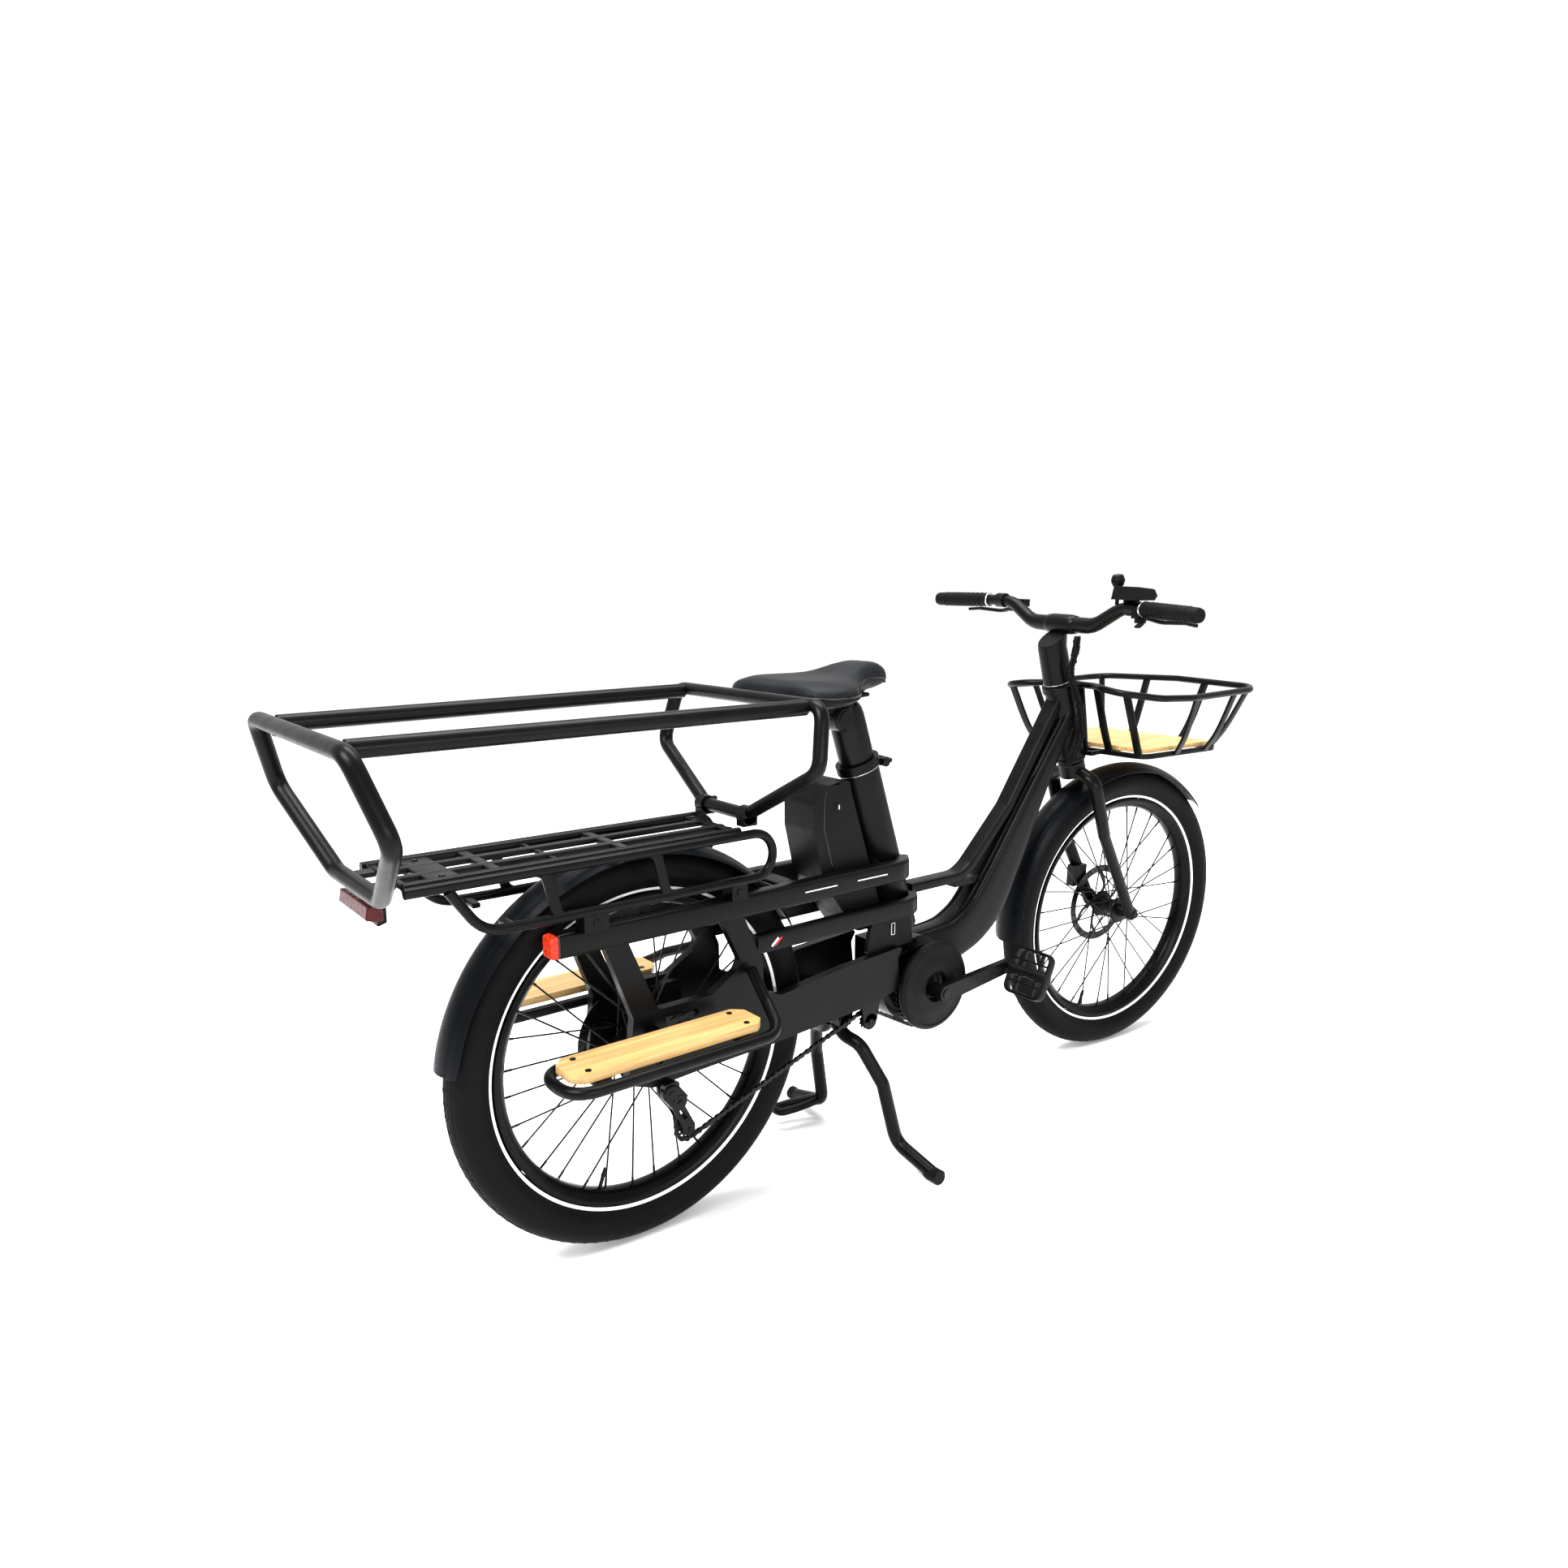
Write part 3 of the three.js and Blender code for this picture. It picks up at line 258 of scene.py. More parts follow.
def disc(radius, x, z, y0, y1, sides=40, edge=1.0):
    c = min(edge, radius / 3, abs(y1 - y0) / 3)
    profile = [(0.01, y0), (radius - c, y0), (radius, y0 + c), (radius, y1 - c), (radius - c, y1), (0.01, y1)]
    return lathe(profile, x, z, sides)


def rod(a, b, radius, sides=12, end=None):
    a, b = Vector(a), Vector(b)
    side = Y if abs((b - a).normalized().y) < 0.9 else X
    k = (end or radius) / radius
    return sweep([a, b], oval(2 * radius, 2 * radius, sides), side, size=lambda t: 1 + (k - 1) * t)


def bar(a, b, width, height, corner, side=Y, steps=4):
    """A straight bar of rectangular section with round edges."""
    return sweep([a, b], box_section(width, height, corner, steps), side)


def around(x, radius, angle, y=0):
    """A point at a radius and an angle about a wheel's axle."""
    return Vector((x + radius * math.cos(angle), y, WHEEL_R + radius * math.sin(angle)))


def arc(x, z, radius, start, stop, steps, y=0):
    angles = [math.radians(start + (stop - start) * i / steps) for i in range(steps + 1)]
    return [Vector((x + radius * math.cos(a), y, z + radius * math.sin(a))) for a in angles]


# ---------------------------------------------------------------- materials
def material(name, build, **sockets):
    made = bpy.data.materials.new(name)
    made.use_nodes = True
    tree = made.node_tree
    shader = tree.nodes["Principled BSDF"]
    for socket, value in sockets.items():
        shader.inputs[socket.replace("_", " ")].default_value = value
    build(tree, shader)
    return made


def node(tree, kind, links=None, **values):
    made = tree.nodes.new(kind)
    for key, value in values.items():
        if key in made.inputs:
            made.inputs[key].default_value = value
        else:
            setattr(made, key, value)
    for key, source in (links or {}).items():
        tree.links.new(source, made.inputs[key])
    return made


def place(tree, stretch=(1, 1, 1)):
    coords = node(tree, "ShaderNodeTexCoord").outputs["Object"]
    return node(tree, "ShaderNodeMapping", {"Vector": coords}, Scale=stretch).outputs["Vector"]


def noise(tree, scale, detail=4, stretch=(1, 1, 1), roughness=0.55):
    vector = {"Vector": place(tree, stretch)}
    return node(tree, "ShaderNodeTexNoise", vector, Scale=scale, Detail=detail, Roughness=roughness).outputs["Fac"]


def ramp(tree, factor, stops):
    made = node(tree, "ShaderNodeValToRGB", {"Fac": factor})
    elements = made.color_ramp.elements
    while len(elements) < len(stops):
        elements.new(0.5)
    for element, (position, colour) in zip(elements, stops):
        element.position = position
        element.color = (*colour, 1)
    return made.outputs["Color"]


def tint(tree, shader, factor, *stops, socket="Base Color"):
    tree.links.new(ramp(tree, factor, stops), shader.inputs[socket])


def rub(tree, shader, factor, low, high):
    """Roughness between low and high."""
    values = {"From Min": 0.3, "From Max": 0.7, "To Min": low, "To Max": high}
    made = node(tree, "ShaderNodeMapRange", {"Value": factor}, **values)
    tree.links.new(made.outputs["Result"], shader.inputs["Roughness"])


def multiply(tree, a, b):
    made = node(tree, "ShaderNodeMix", data_type="RGBA", blend_type="MULTIPLY")
    made.inputs["Factor"].default_value = 1
    tree.links.new(a, made.inputs["A"])
    tree.links.new(b, made.inputs["B"])
    return made.outputs["Result"]


def bumps(tree, shader, *layers):
    """layers are (height socket, strength, distance in metres)."""
    last = None
    for height, strength, distance in layers:
        bump = node(tree, "ShaderNodeBump", {"Height": height}, Strength=strength, Distance=distance)
        if last:
            tree.links.new(last.outputs["Normal"], bump.inputs["Normal"])
        last = bump
    tree.links.new(last.outputs["Normal"], shader.inputs["Normal"])


def coated(name, dark, light, rough, grain, strength, soft, metallic=0.0, specular=0.13):
    """Paint, anodising or moulded plastic: a fine grain, a slow change of tone, and rubbed roughness."""
    def build(tree, shader):
        tint(tree, shader, noise(tree, 7, 5), (0.35, dark), (0.68, light))
        rub(tree, shader, noise(tree, 42, 4), rough * 0.86, rough * 1.14)
        bumps(tree, shader, (noise(tree, grain, 3), strength, soft))
    return material(name, build, Metallic=metallic, Specular_IOR_Level=specular)


def bamboo(name, tone):
    """Boards of glued strips with lengthwise fibres and the darker nodes of the cane."""
    def build(tree, shader):
        strips = node(tree, "ShaderNodeTexWave", {"Vector": place(tree)}, Scale=17.5, Distortion=0.0)
        strips.bands_direction = "Y"
        strips.wave_profile = "SAW"
        fibre = noise(tree, 60, 6, (0.12, 9, 3), 0.7)
        fine = noise(tree, 420, 4, (0.05, 4, 1), 0.6)
        board = noise(tree, 6, 2, (0.5, 22, 1))
        canes = [(0.30, (0.50, 0.27, 0.085)), (0.52, (0.76, 0.49, 0.19)), (0.72, (0.86, 0.61, 0.29))]
        base = ramp(tree, fibre, [(at, tuple(c * tone for c in colour)) for at, colour in canes])
        shade = ramp(tree, board, [(0.36, (0.80, 0.76, 0.70)), (0.62, (1.06, 1.05, 1.0))])
        seam = ramp(tree, strips.outputs["Fac"], [
            (0.0, (0.62, 0.55, 0.45)), (0.035, (1, 1, 1)), (1.0, (0.96, 0.95, 0.93)),
        ])
        tree.links.new(multiply(tree, multiply(tree, base, shade), seam), shader.inputs["Base Color"])
        rub(tree, shader, fine, 0.34, 0.5)
        bumps(tree, shader, (fine, 0.18, 0.0004))
    return material(name, build)


def leather(name):
    def build(tree, shader):
        cells = node(tree, "ShaderNodeTexVoronoi", {"Vector": place(tree)}, Scale=620, feature="DISTANCE_TO_EDGE")
        soft = noise(tree, 9, 4)
        tint(tree, shader, soft, (0.35, (0.0018, 0.0021, 0.0028)), (0.7, (0.0038, 0.0045, 0.0058)))
        rub(tree, shader, soft, 0.46, 0.58)
        bumps(tree, shader, (cells.outputs["Distance"], 0.25, 0.0005), (noise(tree, 1500, 2), 0.1, 0.0002))
    return material(name, build, Specular_IOR_Level=0.1, Sheen_Weight=0.008, Sheen_Roughness=0.4)


def tyre(name):
    """Rubber with a moulded side grain; the tread itself is geometry."""
    def build(tree, shader):
        slow = noise(tree, 10, 5)
        tint(tree, shader, slow, (0.35, (0.0007, 0.0007, 0.0008)), (0.7, (0.0020, 0.0020, 0.0021)))
        rub(tree, shader, slow, 0.5, 0.66)
        bumps(tree, shader, (noise(tree, 500, 4), 0.2, 0.0004))
    return material(name, build, Specular_IOR_Level=0.06)


def lens(name, colour, glow):
    def build(tree, shader):
        made = node(tree, "ShaderNodeTexVoronoi", {"Vector": place(tree)}, Scale=160, feature="F1")
        cells = made.outputs["Distance"]
        tint(tree, shader, cells, (0.0, colour), (0.9, tuple(c * 0.45 for c in colour)))
        tint(tree, shader, cells, (0.0, glow), (0.8, tuple(c * 0.3 for c in glow)), socket="Emission Color")
        rub(tree, shader, cells, 0.08, 0.2)
        bumps(tree, shader, (cells, 0.4, 0.0008))
    return material(name, build, Emission_Strength=0.75, Specular_IOR_Level=0.15)


# Dark tone, light tone, roughness, grain, its strength and its depth in metres, metallic, specular level.
PAINT = coated("frame_black", (0.0007, 0.0007, 0.0008), (0.0022, 0.0023, 0.0026), 0.33, 900, 0.12, 0.0006, 0, 0.085)
NAVY = coated("fender_navy", (0.0006, 0.0010, 0.0017), (0.0014, 0.0023, 0.0036), 0.40, 700, 0.1, 0.0006, 0, 0.07)
METAL = coated("black_metal", (0.0008, 0.0008, 0.0009), (0.0026, 0.0026, 0.0028), 0.30, 1100, 0.14, 0.0004, 0, 0.1)
RIM = coated("rim_black", (0.0005, 0.0005, 0.0006), (0.0014, 0.0014, 0.0015), 0.28, 1300, 0.08, 0.0003, 0, 0.07)
PLASTIC = coated("black_plastic", (0.0009, 0.0009, 0.0010), (0.0024, 0.0025, 0.0028), 0.46, 1500, 0.3, 0.0005,
                 0, 0.08)
GLOSS = coated("glossy_plastic", (0.0006, 0.0006, 0.0007), (0.0014, 0.0014, 0.0017), 0.12, 600, 0.03, 0.0006, 0, 0.3)
GRIP = coated("grip_rubber", (0.0010, 0.0011, 0.0013), (0.0028, 0.0030, 0.0034), 0.58, 1800, 0.4, 0.0006, 0, 0.07)
CHAIN = coated("dark_steel", (0.006, 0.006, 0.0064), (0.024, 0.024, 0.026), 0.28, 500, 0.2, 0.0004, 0.9)
STEEL = coated("bright_steel", (0.42, 0.42, 0.43), (0.62, 0.62, 0.63), 0.22, 900, 0.1, 0.0003, 1.0)
DISC_STEEL = coated("disc_steel", (0.012, 0.012, 0.0125), (0.034, 0.034, 0.035), 0.26, 1400, 0.2, 0.0003, 1.0)
WHITE = coated("pale_line", (0.74, 0.74, 0.73), (0.88, 0.88, 0.87), 0.45, 800, 0.08, 0.0006)
RED_LINE = coated("red_line", (0.40, 0.012, 0.012), (0.56, 0.02, 0.02), 0.45, 800, 0.08, 0.0006)
BOARD = bamboo("bamboo_board", 0.68)
FLOOR_BOARD = bamboo("bamboo_floor", 0.73)
LEATHER = leather("saddle_cover")
TYRE = tyre("tyre_rubber")
RED = lens("red_lens", (0.45, 0.010, 0.006), (1.0, 0.10, 0.03))
DARK_RED = lens("dark_red_lens", (0.050, 0.0025, 0.0025), (0.030, 0.001, 0.001))


# ---------------------------------------------------------------- pieces
def piece(name, body, parts, nodes=(), steer=False, bevel=0.0, segments=3, subdivide=0, sharp=38):
    """parts is a list of (shape, material). The piece stands for the CAD nodes and rides on the body, if any."""
    matrix = TO_METRES @ STEER if steer else TO_METRES
    verts, faces, slots, stuffs = [], [], [], []
    for shape, stuff in parts:
        if stuff not in stuffs:
            stuffs.append(stuff)
        start = len(verts)
        verts += [matrix @ v for v in shape[0]]
        faces += [tuple(i + start for i in face) for face in shape[1]]
        slots += [stuffs.index(stuff)] * len(shape[1])
    mesh = bpy.data.meshes.new(name)
    mesh.from_pydata(verts, [], faces)
    mesh.polygons.foreach_set("material_index", slots)
    for stuff in stuffs:
        mesh.materials.append(stuff)
    mesh.update()
    mesh.shade_smooth()
    if not subdivide:
        mesh.set_sharp_from_angle(angle=math.radians(sharp))
    made = bpy.data.objects.new(name, mesh)
    bpy.context.scene.collection.objects.link(made)
    if bevel:
        rounding = made.modifiers.new("round", "BEVEL")
        rounding.width = bevel / 1000
        rounding.segments = segments
        rounding.limit_method = "ANGLE"
        rounding.angle_limit = math.radians(42)
        rounding.harden_normals = True
    if subdivide:
        made.modifiers.new("smooth", "SUBSURF").levels = subdivide
        made.modifiers["smooth"].render_levels = subdivide
    if body:
        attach(made, body)
    if nodes:
        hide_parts(*nodes)
    return made


# ---------------------------------------------------------------- wheels
def tyre_shapes(x):
    middle = WHEEL_R - TYRE_R
    rubber, stripe = [], []
    for i in range(-66, 67, 3):
        a = math.radians(i * 2)
        tread = 0.8 if abs(i) < 16 and i % 6 else 0
        r = TYRE_R - 0.15 - tread
        rubber.append((middle + r * math.cos(a), r * math.sin(a)))
    rubber += [(258.6, 17), (258.6, -17)]
    for side in (1, -1):
        loop = [(261.2, side * 18.7), (265.8, side * 20.9), (266.3, side * 18.0), (261.7, side * 15.8)]
        stripe.append(lathe(loop[::-side], x, WHEEL_R, 160))
    return lathe(rubber[::-1], x, WHEEL_R, 192), merge(*stripe)


def knobs(x):
    """Low tread blocks, a shallow arrow pattern round the crown."""
    shapes = []
    for i in range(96):
        a = 2 * math.pi * i / 96
        for side in (-1, 1):
            along = Vector((-math.sin(a), 0, math.cos(a)))
            out = Vector((math.cos(a), 0, math.sin(a)))
            ends = []
            for y in (3.5, 13.5):
                r = WHEEL_R - TYRE_R + math.sqrt(TYRE_R**2 - y * y) - 0.9
                ends.append(Vector((x, side * y, WHEEL_R)) + out * r + along * (y * 0.5))
            shapes.append(sweep(ends, box_section(7, 2.0, 0.7, 1), along))
    return merge(*shapes)


def rim_shape(x):
    profile = [
        (258, -17), (258, -21), (255.5, -22.2), (251, -21.4), (247, -18), (240, -13), (237.2, -8), (236.8, 0),
        (237.2, 8), (240, 13), (247, 18), (251, 21.4), (255.5, 22.2), (258, 21), (258, 17), (250, 14), (250, -14),
    ]
    return lathe(profile, x, WHEEL_R, 160)


def spoke_shapes(x, flange, offset):
    shapes, nipples = [], []
    for i in range(32):
        side = 1 if i % 2 == 0 else -1
        lean = 1 if (i // 2) % 2 == 0 else -1
        rim = (i + 0.5) / 32 * 2 * math.pi
        hub = rim + lean * 1.15
        start, end = around(x, flange, hub, side * offset), around(x, 236.5, rim, side * 4)
        shapes.append(rod(start, end, 1.55, 8))
        nipples.append(rod(end + (start - end).normalized() * 13, end, 2.1, 8))
    return merge(*shapes), merge(*nipples)


def brake_disc(x, y):
    """A ventilated brake disc: a drilled ring on curved arms."""
    ring = lathe([(90, y - 0.9), (90, y + 0.9), (74, y + 0.9), (74, y - 0.9)], x, WHEEL_R, 96)
    holes, arms = [], []
    for i in range(6):
        a = 2 * math.pi * i / 6
        points = [around(x, r, a + turn, y) for r, turn in ((20, 0.0), (38, 0.10), (56, 0.26), (76, 0.5))]
        arms.append(sweep(spline(points, 4), box_section(1.8, 8, 0.5, 1), Y))
    for i in range(36):
        a = 2 * math.pi * (i + 0.3 * (i % 3)) / 36
        r = 78 + 4 * (i % 3)
        holes.append(disc(2.2, x + r * math.cos(a), WHEEL_R + r * math.sin(a), y - 1.1, y + 1.1, 12, 0.2))
    return merge(ring, *arms), merge(*holes)


def hub_parts(x, half, disc_y):
    shell = [
        (5.5, -half), (5.5, half), (13, half - 14), (19, 36), (21, 31), (29, 29.5), (30.5, 27), (29, 23.5),
        (19, 19), (17.5, 0), (19, -19), (29, -23.5), (30.5, -27), (29, -29.5), (16, -31), (13, -half + 14),
    ]
    body = lathe(shell[::-1], x, WHEEL_R, 64)
    ends = merge(disc(9, x, WHEEL_R, -half, -half + 8, 6, 1), disc(9, x, WHEEL_R, half - 8, half, 6, 1))
    ring, holes = brake_disc(x, disc_y)
    spokes, nipples = spoke_shapes(x, 28, 26.5)
    centre = disc(22, x, WHEEL_R, disc_y - 4, disc_y + 3, 32, 1.5)
    turned = [(body, METAL), (ends, CHAIN), (ring, DISC_STEEL), (holes, RIM)]
    return [*turned, (spokes, METAL), (nipples, METAL), (centre, METAL)]


def valve(x):
    a = math.radians(250)
    start = around(x, 238, a)
    inward = Vector((-math.cos(a), 0, -math.sin(a)))
    cap = rod(start + inward * 20, start + inward * 34, 4.2, 10, 3.0)
    return merge(rod(start, start + inward * 26, 3.2, 12), cap)


for name, x, steer, half, disc_y in (("rear", 0, False, 67, 42), ("front", WHEELBASE, True, 59, 37)):
    rubber, stripe = tyre_shapes(x)
    wheel = f"{name}_wheel"
    piece(f"{name}_tyre_piece", wheel, [(rubber, TYRE), (stripe, WHITE), (knobs(x), TYRE)],
          [f"{name}_tyre"], steer, sharp=30)
    piece(f"{name}_rim_piece", wheel, [(rim_shape(x), RIM), (valve(x), METAL)],
          [f"{name}_rim"], steer)
    piece(f"{name}_hub_piece", wheel, hub_parts(x, half, disc_y), [f"{name}_hub"], steer,
          bevel=0.3, segments=2)


# ---------------------------------------------------------------- gears and chain
def sprocket(x, z, radius, teeth, y0, y1, tooth=4.0):
    outline = []
    for i in range(teeth):
        for share, rise in ((0.0, 0), (0.22, 0), (0.38, tooth), (0.62, tooth), (0.78, 0)):
            a = 2 * math.pi * (i + share) / teeth
            outline.append((x + (radius + rise) * math.cos(a), z + (radius + rise) * math.sin(a)))
    turns = [i / 12 * math.pi for i in range(24)]
    inner = [(x + radius * 0.55 * math.cos(a), z + radius * 0.55 * math.sin(a)) for a in turns]
    return plate(outline, y0, y1, [inner])


cogs = [sprocket(0, WHEEL_R, 50 - 4.1 * i, 34 - 3 * i, -32 - 2.3 * i, -31 - 2.3 * i, 3) for i in range(8)]
core = lathe([(17, -31), (44, -31), (34, -40), (24, -45), (21, -52), (17, -53)], 0, WHEEL_R, 48)
piece("cassette_piece", "cassette", [(merge(*cogs), CHAIN), (core, CHAIN)], ["cassette"])


def belt_path(wheels, spacing):
    """Points at an even spacing round the wheels, each passed on its own side."""
    headings = []
    for i, (x, z, r, turn) in enumerate(wheels):
        nx, nz, nr, nturn = wheels[(i + 1) % len(wheels)]
        line = math.atan2(nz - z, nx - x)
        headings.append(line + math.asin((turn * r - nturn * nr) / math.hypot(nx - x, nz - z)))
    points = []
    for i, (x, z, r, turn) in enumerate(wheels):
        into = headings[i - 1]
        swing = headings[i] - into
        while swing * turn < 0:
            swing += turn * 2 * math.pi
        while abs(swing) > 2 * math.pi:
            swing -= turn * 2 * math.pi
        steps = max(6, int(abs(swing) / 0.06))
        for k in range(steps + 1):
            a = into + swing * k / steps
            points.append(Vector((x + turn * r * math.sin(a), 0, z - turn * r * math.cos(a))))
    points.append(points[0])
    lengths = [0.0]
    for a, b in zip(points, points[1:]):
        lengths.append(lengths[-1] + (b - a).length)
    count = 2 * round(lengths[-1] / spacing / 2)
    path, k = [], 0
    for i in range(count):
        target = lengths[-1] * i / count
        while lengths[k + 1] < target:
            k += 1
        share = (target - lengths[k]) / max(lengths[k + 1] - lengths[k], 1e-9)
        path.append(points[k].lerp(points[k + 1], share))
    return path


CHAIN_WHEELS = [
    (0, WHEEL_R, 28.5, -1), (*CRANK, 80, -1), (*IDLER, 20, 1), (*LOWER_JOCKEY, 20, -1), (*UPPER_JOCKEY, 20, 1),
]
CHAIN_PITCH = 12.7


def chain_link(a, b, wide):
    """One pair of side plates with a waist, and the roller at its first pin."""
    along = b - a
    tilt = math.atan2(along.z, along.x)
    waist = a + along * 0.5
    outline = []
    for centre, side in ((a, -1), (a + along, 1)):
        for k in range(7):
            angle = tilt - side * math.pi / 2 + math.pi * k / 6
            outline.append((centre.x + 3.9 * math.cos(angle), centre.z + 3.9 * math.sin(angle)))
        outline.append((waist.x - side * 2.4 * math.sin(tilt), waist.z + side * 2.4 * math.cos(tilt)))
    near, far = (2.5, 3.3) if wide else (1.6, 2.4)
    plates = [plate(outline, CHAIN_Y - far, CHAIN_Y - near), plate(outline, CHAIN_Y + near, CHAIN_Y + far)]
    return merge(*plates, disc(2.1, a.x, a.z, CHAIN_Y - 3.6, CHAIN_Y + 3.6, 10, 0.3))


pins = belt_path(CHAIN_WHEELS, CHAIN_PITCH)
links = [chain_link(a, b, i % 2 == 0) for i, (a, b) in enumerate(zip(pins, [*pins[1:], pins[0]]))]
piece("chain_piece", "frame", [(merge(*links), CHAIN)], ["chain"])
piece("idler_piece", "idler", [
    (sprocket(*IDLER, 14, 12, -50.2, -47.8, 3), PLASTIC), (disc(11, *IDLER, -51.5, -46.5, 28), METAL),
], ["chain_idler"])


def derailleur():
    knuckle = merge(
        disc(15, 2, 274, -92, -76, 40, 3), disc(6, 2, 274, -93.5, -90, 6, 0.8),
        disc(15, 18, 254, -90, -74.5, 40, 3), disc(5, 18, 254, -92, -88, 6, 0.8),
    )
    arm = plate([(-9, 290), (10, 292), (33, 262), (25, 244), (5, 246), (-12, 268)], -89, -76)
    wheels = merge(sprocket(*UPPER_JOCKEY, 13, 11, -50, -48, 3), sprocket(*LOWER_JOCKEY, 13, 11, -50, -48, 3))
    outline = [(9, 256), (12, 266), (24, 268), (32, 258), (66, 190), (66, 178), (55, 171), (43, 178), (42, 190)]
    window = [(28, 236), (34, 239), (52, 206), (46, 203)]
    cages = [plate(outline, low, high, [window]) for low, high in ((-58, -56), (-43, -41.4))]
    pins = merge(disc(4.5, *UPPER_JOCKEY, -66, -41, 16), disc(4.5, *LOWER_JOCKEY, -59, -41, 16))
    return [(merge(knuckle, arm), METAL)], [(merge(*cages), METAL), (wheels, PLASTIC), (pins, CHAIN)]


body_parts, cage_parts = derailleur()
piece("derailleur_piece", "frame", body_parts, ["derailleur_body"], bevel=1.6)
piece("derailleur_cage_piece", "frame", cage_parts, ["derailleur_cage"], bevel=0.4, segments=2)


# ---------------------------------------------------------------- main frame
def ruled(tops, bottoms, section):
    """A tube whose upper and lower edges follow two lines; the section is [(y, share of the depth)]."""
    sides = len(section)
    verts = [t + (b - t) * s + Y * y for t, b in zip(tops, bottoms) for y, s in section]
    faces = []
    for i in range(len(tops) - 1):
        for k in range(sides):
            m = (k + 1) % sides
            faces.append((i * sides + k, i * sides + m, (i + 1) * sides + m, (i + 1) * sides + k))
    last = (len(tops) - 1) * sides
    faces += [tuple(reversed(range(sides))), tuple(last + k for k in range(sides))]
    return verts, faces


def down_tube():
    top = [
        (1036, 795), (1016, 768), (931, 657), (836, 532), (792, 476), (752, 430), (715, 407), (680, 397), (600, 393),
    ]
    foot = [
        (1053, 752), (1017, 711), (962, 610), (900, 484), (847, 393), (800, 352), (755, 331), (700, 319), (600, 319),
    ]
    half = [
        (0, -0.01), (13, -0.01), (15, 0.0), (16.5, 0.045), (19, 0.05), (20.5, 0.01), (23, 0.0), (26.5, 0.015),
        (29.5, 0.06), (31, 0.13), (31, 0.35), (31, 0.6), (31, 0.82), (29.5, 0.91), (25, 0.975), (16, 1.0), (6, 1.0),
    ]
    lines = [spline([(x, 0, z) for x, z in line]) for line in (top, foot)]
    return ruled(*lines, [*half, *[(-y, s) for y, s in reversed(half[1:])]])


def upper_bar():
    path = bend([(1034, 0, 833), (872, 0, 608), (762, 0, 502), (732, 0, 485), (594, 0, 485)], 70, 10)
    return sweep(path, box_section(36, 19, 4.5))


def bar_holes():
    shapes = []
    for share in (0.30, 0.45):
        at = Vector((1032, 0, 831)).lerp(Vector((872, 0, 608)), share)
        up = Vector((-0.812, 0, 0.583))
        shapes.append(rod(at + up * 8.8, at + up * 9.9, 4.6, 20))
        shapes.append(rod(at + up * 9.6, at + up * 10.1, 2.6, 6))
    return merge(*shapes)


piece("down_tube_piece", "frame", [(down_tube(), PAINT)], ["down_tube"], sharp=50)
lug = merge(block(716, 786, -15, 15, 466, 481), disc(4, 770, 474, -17, 17, 16))
piece("upper_bar_piece", "frame", [(upper_bar(), PAINT), (bar_holes(), RIM), (lug, PAINT)],
      ["upper_bar"], bevel=1.2)

head_parts = merge(
    sweep([on_steer_axis(z) for z in (694, 700, 780, 843)], oval(60, 62, 48)),
    sweep([on_steer_axis(z) for z in (686, 694)], oval(63, 65, 48)),
    sweep([on_steer_axis(z) for z in (838, 846, 853)], oval(66, 74, 48)),
)
piece("head_tube_piece", "frame", [(head_parts, PAINT)], ["head_tube"], bevel=2.0)

seat_parts = merge(
    sweep([on_seat_axis(-d) for d in (-1, 100, 240, 352)], oval(62, 80, 56)),
    sweep([on_seat_axis(d) for d in (-15, 2)], oval(70, 88, 56)),
    block(505, 523, -16, -9, 733, 747), block(505, 523, 9, 16, 733, 747),
)
collar_line = sweep([on_seat_axis(d) for d in (-17, -15.4)], oval(68, 86, 56))
piece("seat_tube_piece", "frame", [(seat_parts, PAINT), (collar_line, STEEL)], ["seat_tube"],
      bevel=1.5)


def curl(rear, front, y, z):
    return bend([(rear, y, z), (front - 26, y, z), (front, y - 30, z)], 44, 10)


rails = both(sweep(curl(-168, 552, 59, 544.2), box_section(37.5, 28, 6), Z))
line = both(merge(*[bar((x, 73.2, 546), (x + 71, 73.2, 546), 1.8, 0.8, 0.3, Z, 1) for x in (285, 404)]))
bridge = bar((280, -52, 552), (280, 52, 552), 36, 8, 3, X)
piece("side_rails_piece", "frame", [(merge(rails, bridge), PAINT), (line, WHITE)],
      ["side_rails"], bevel=1.0)

STAY = [
    (-58, 352), (-64, 300), (-20, 284), (60, 288), (216, 293), (335, 300), (442, 306), (503, 320), (512, 330),
    (506, 380), (520, 402), (374, 392), (233, 376), (196, 392), (196, 440), (152, 540), (108, 540), (150, 455),
    (142, 440), (92, 410), (-8, 410), (-62, 540), (-102, 540), (-52, 405),
]


def stay_piece(name, flip, extra):
    body = plate(rounded(STAY, 12, 5), 56, 72.4, [rounded([(2, 396), (62, 396), (70, 384), (10, 378)], 5, 4)])
    band = sweep(curl(186, 578, 62, 472), box_section(32, 20, 4.5), Z)
    nut = merge(disc(9.5, 0, WHEEL_R, 73, 82, 6, 1.2), disc(12, 0, WHEEL_R, 72, 75, 32, 0.6))
    mark = bar((214, 72.6, 466), (228, 72.6, 478), 0.8, 4, 0.3, Y, 1)
    mark_red = bar((221, 72.6, 466), (235, 72.6, 478), 0.8, 3, 0.3, Y, 1)
    parts = [(body, PAINT), (band, PAINT), (nut, METAL), (mark, WHITE), (mark_red, RED_LINE)]
    parts = [(flip(shape), stuff) for shape, stuff in parts]
    piece(f"{name}_piece", "frame", [*parts, *extra], [name], bevel=3.0, segments=4)


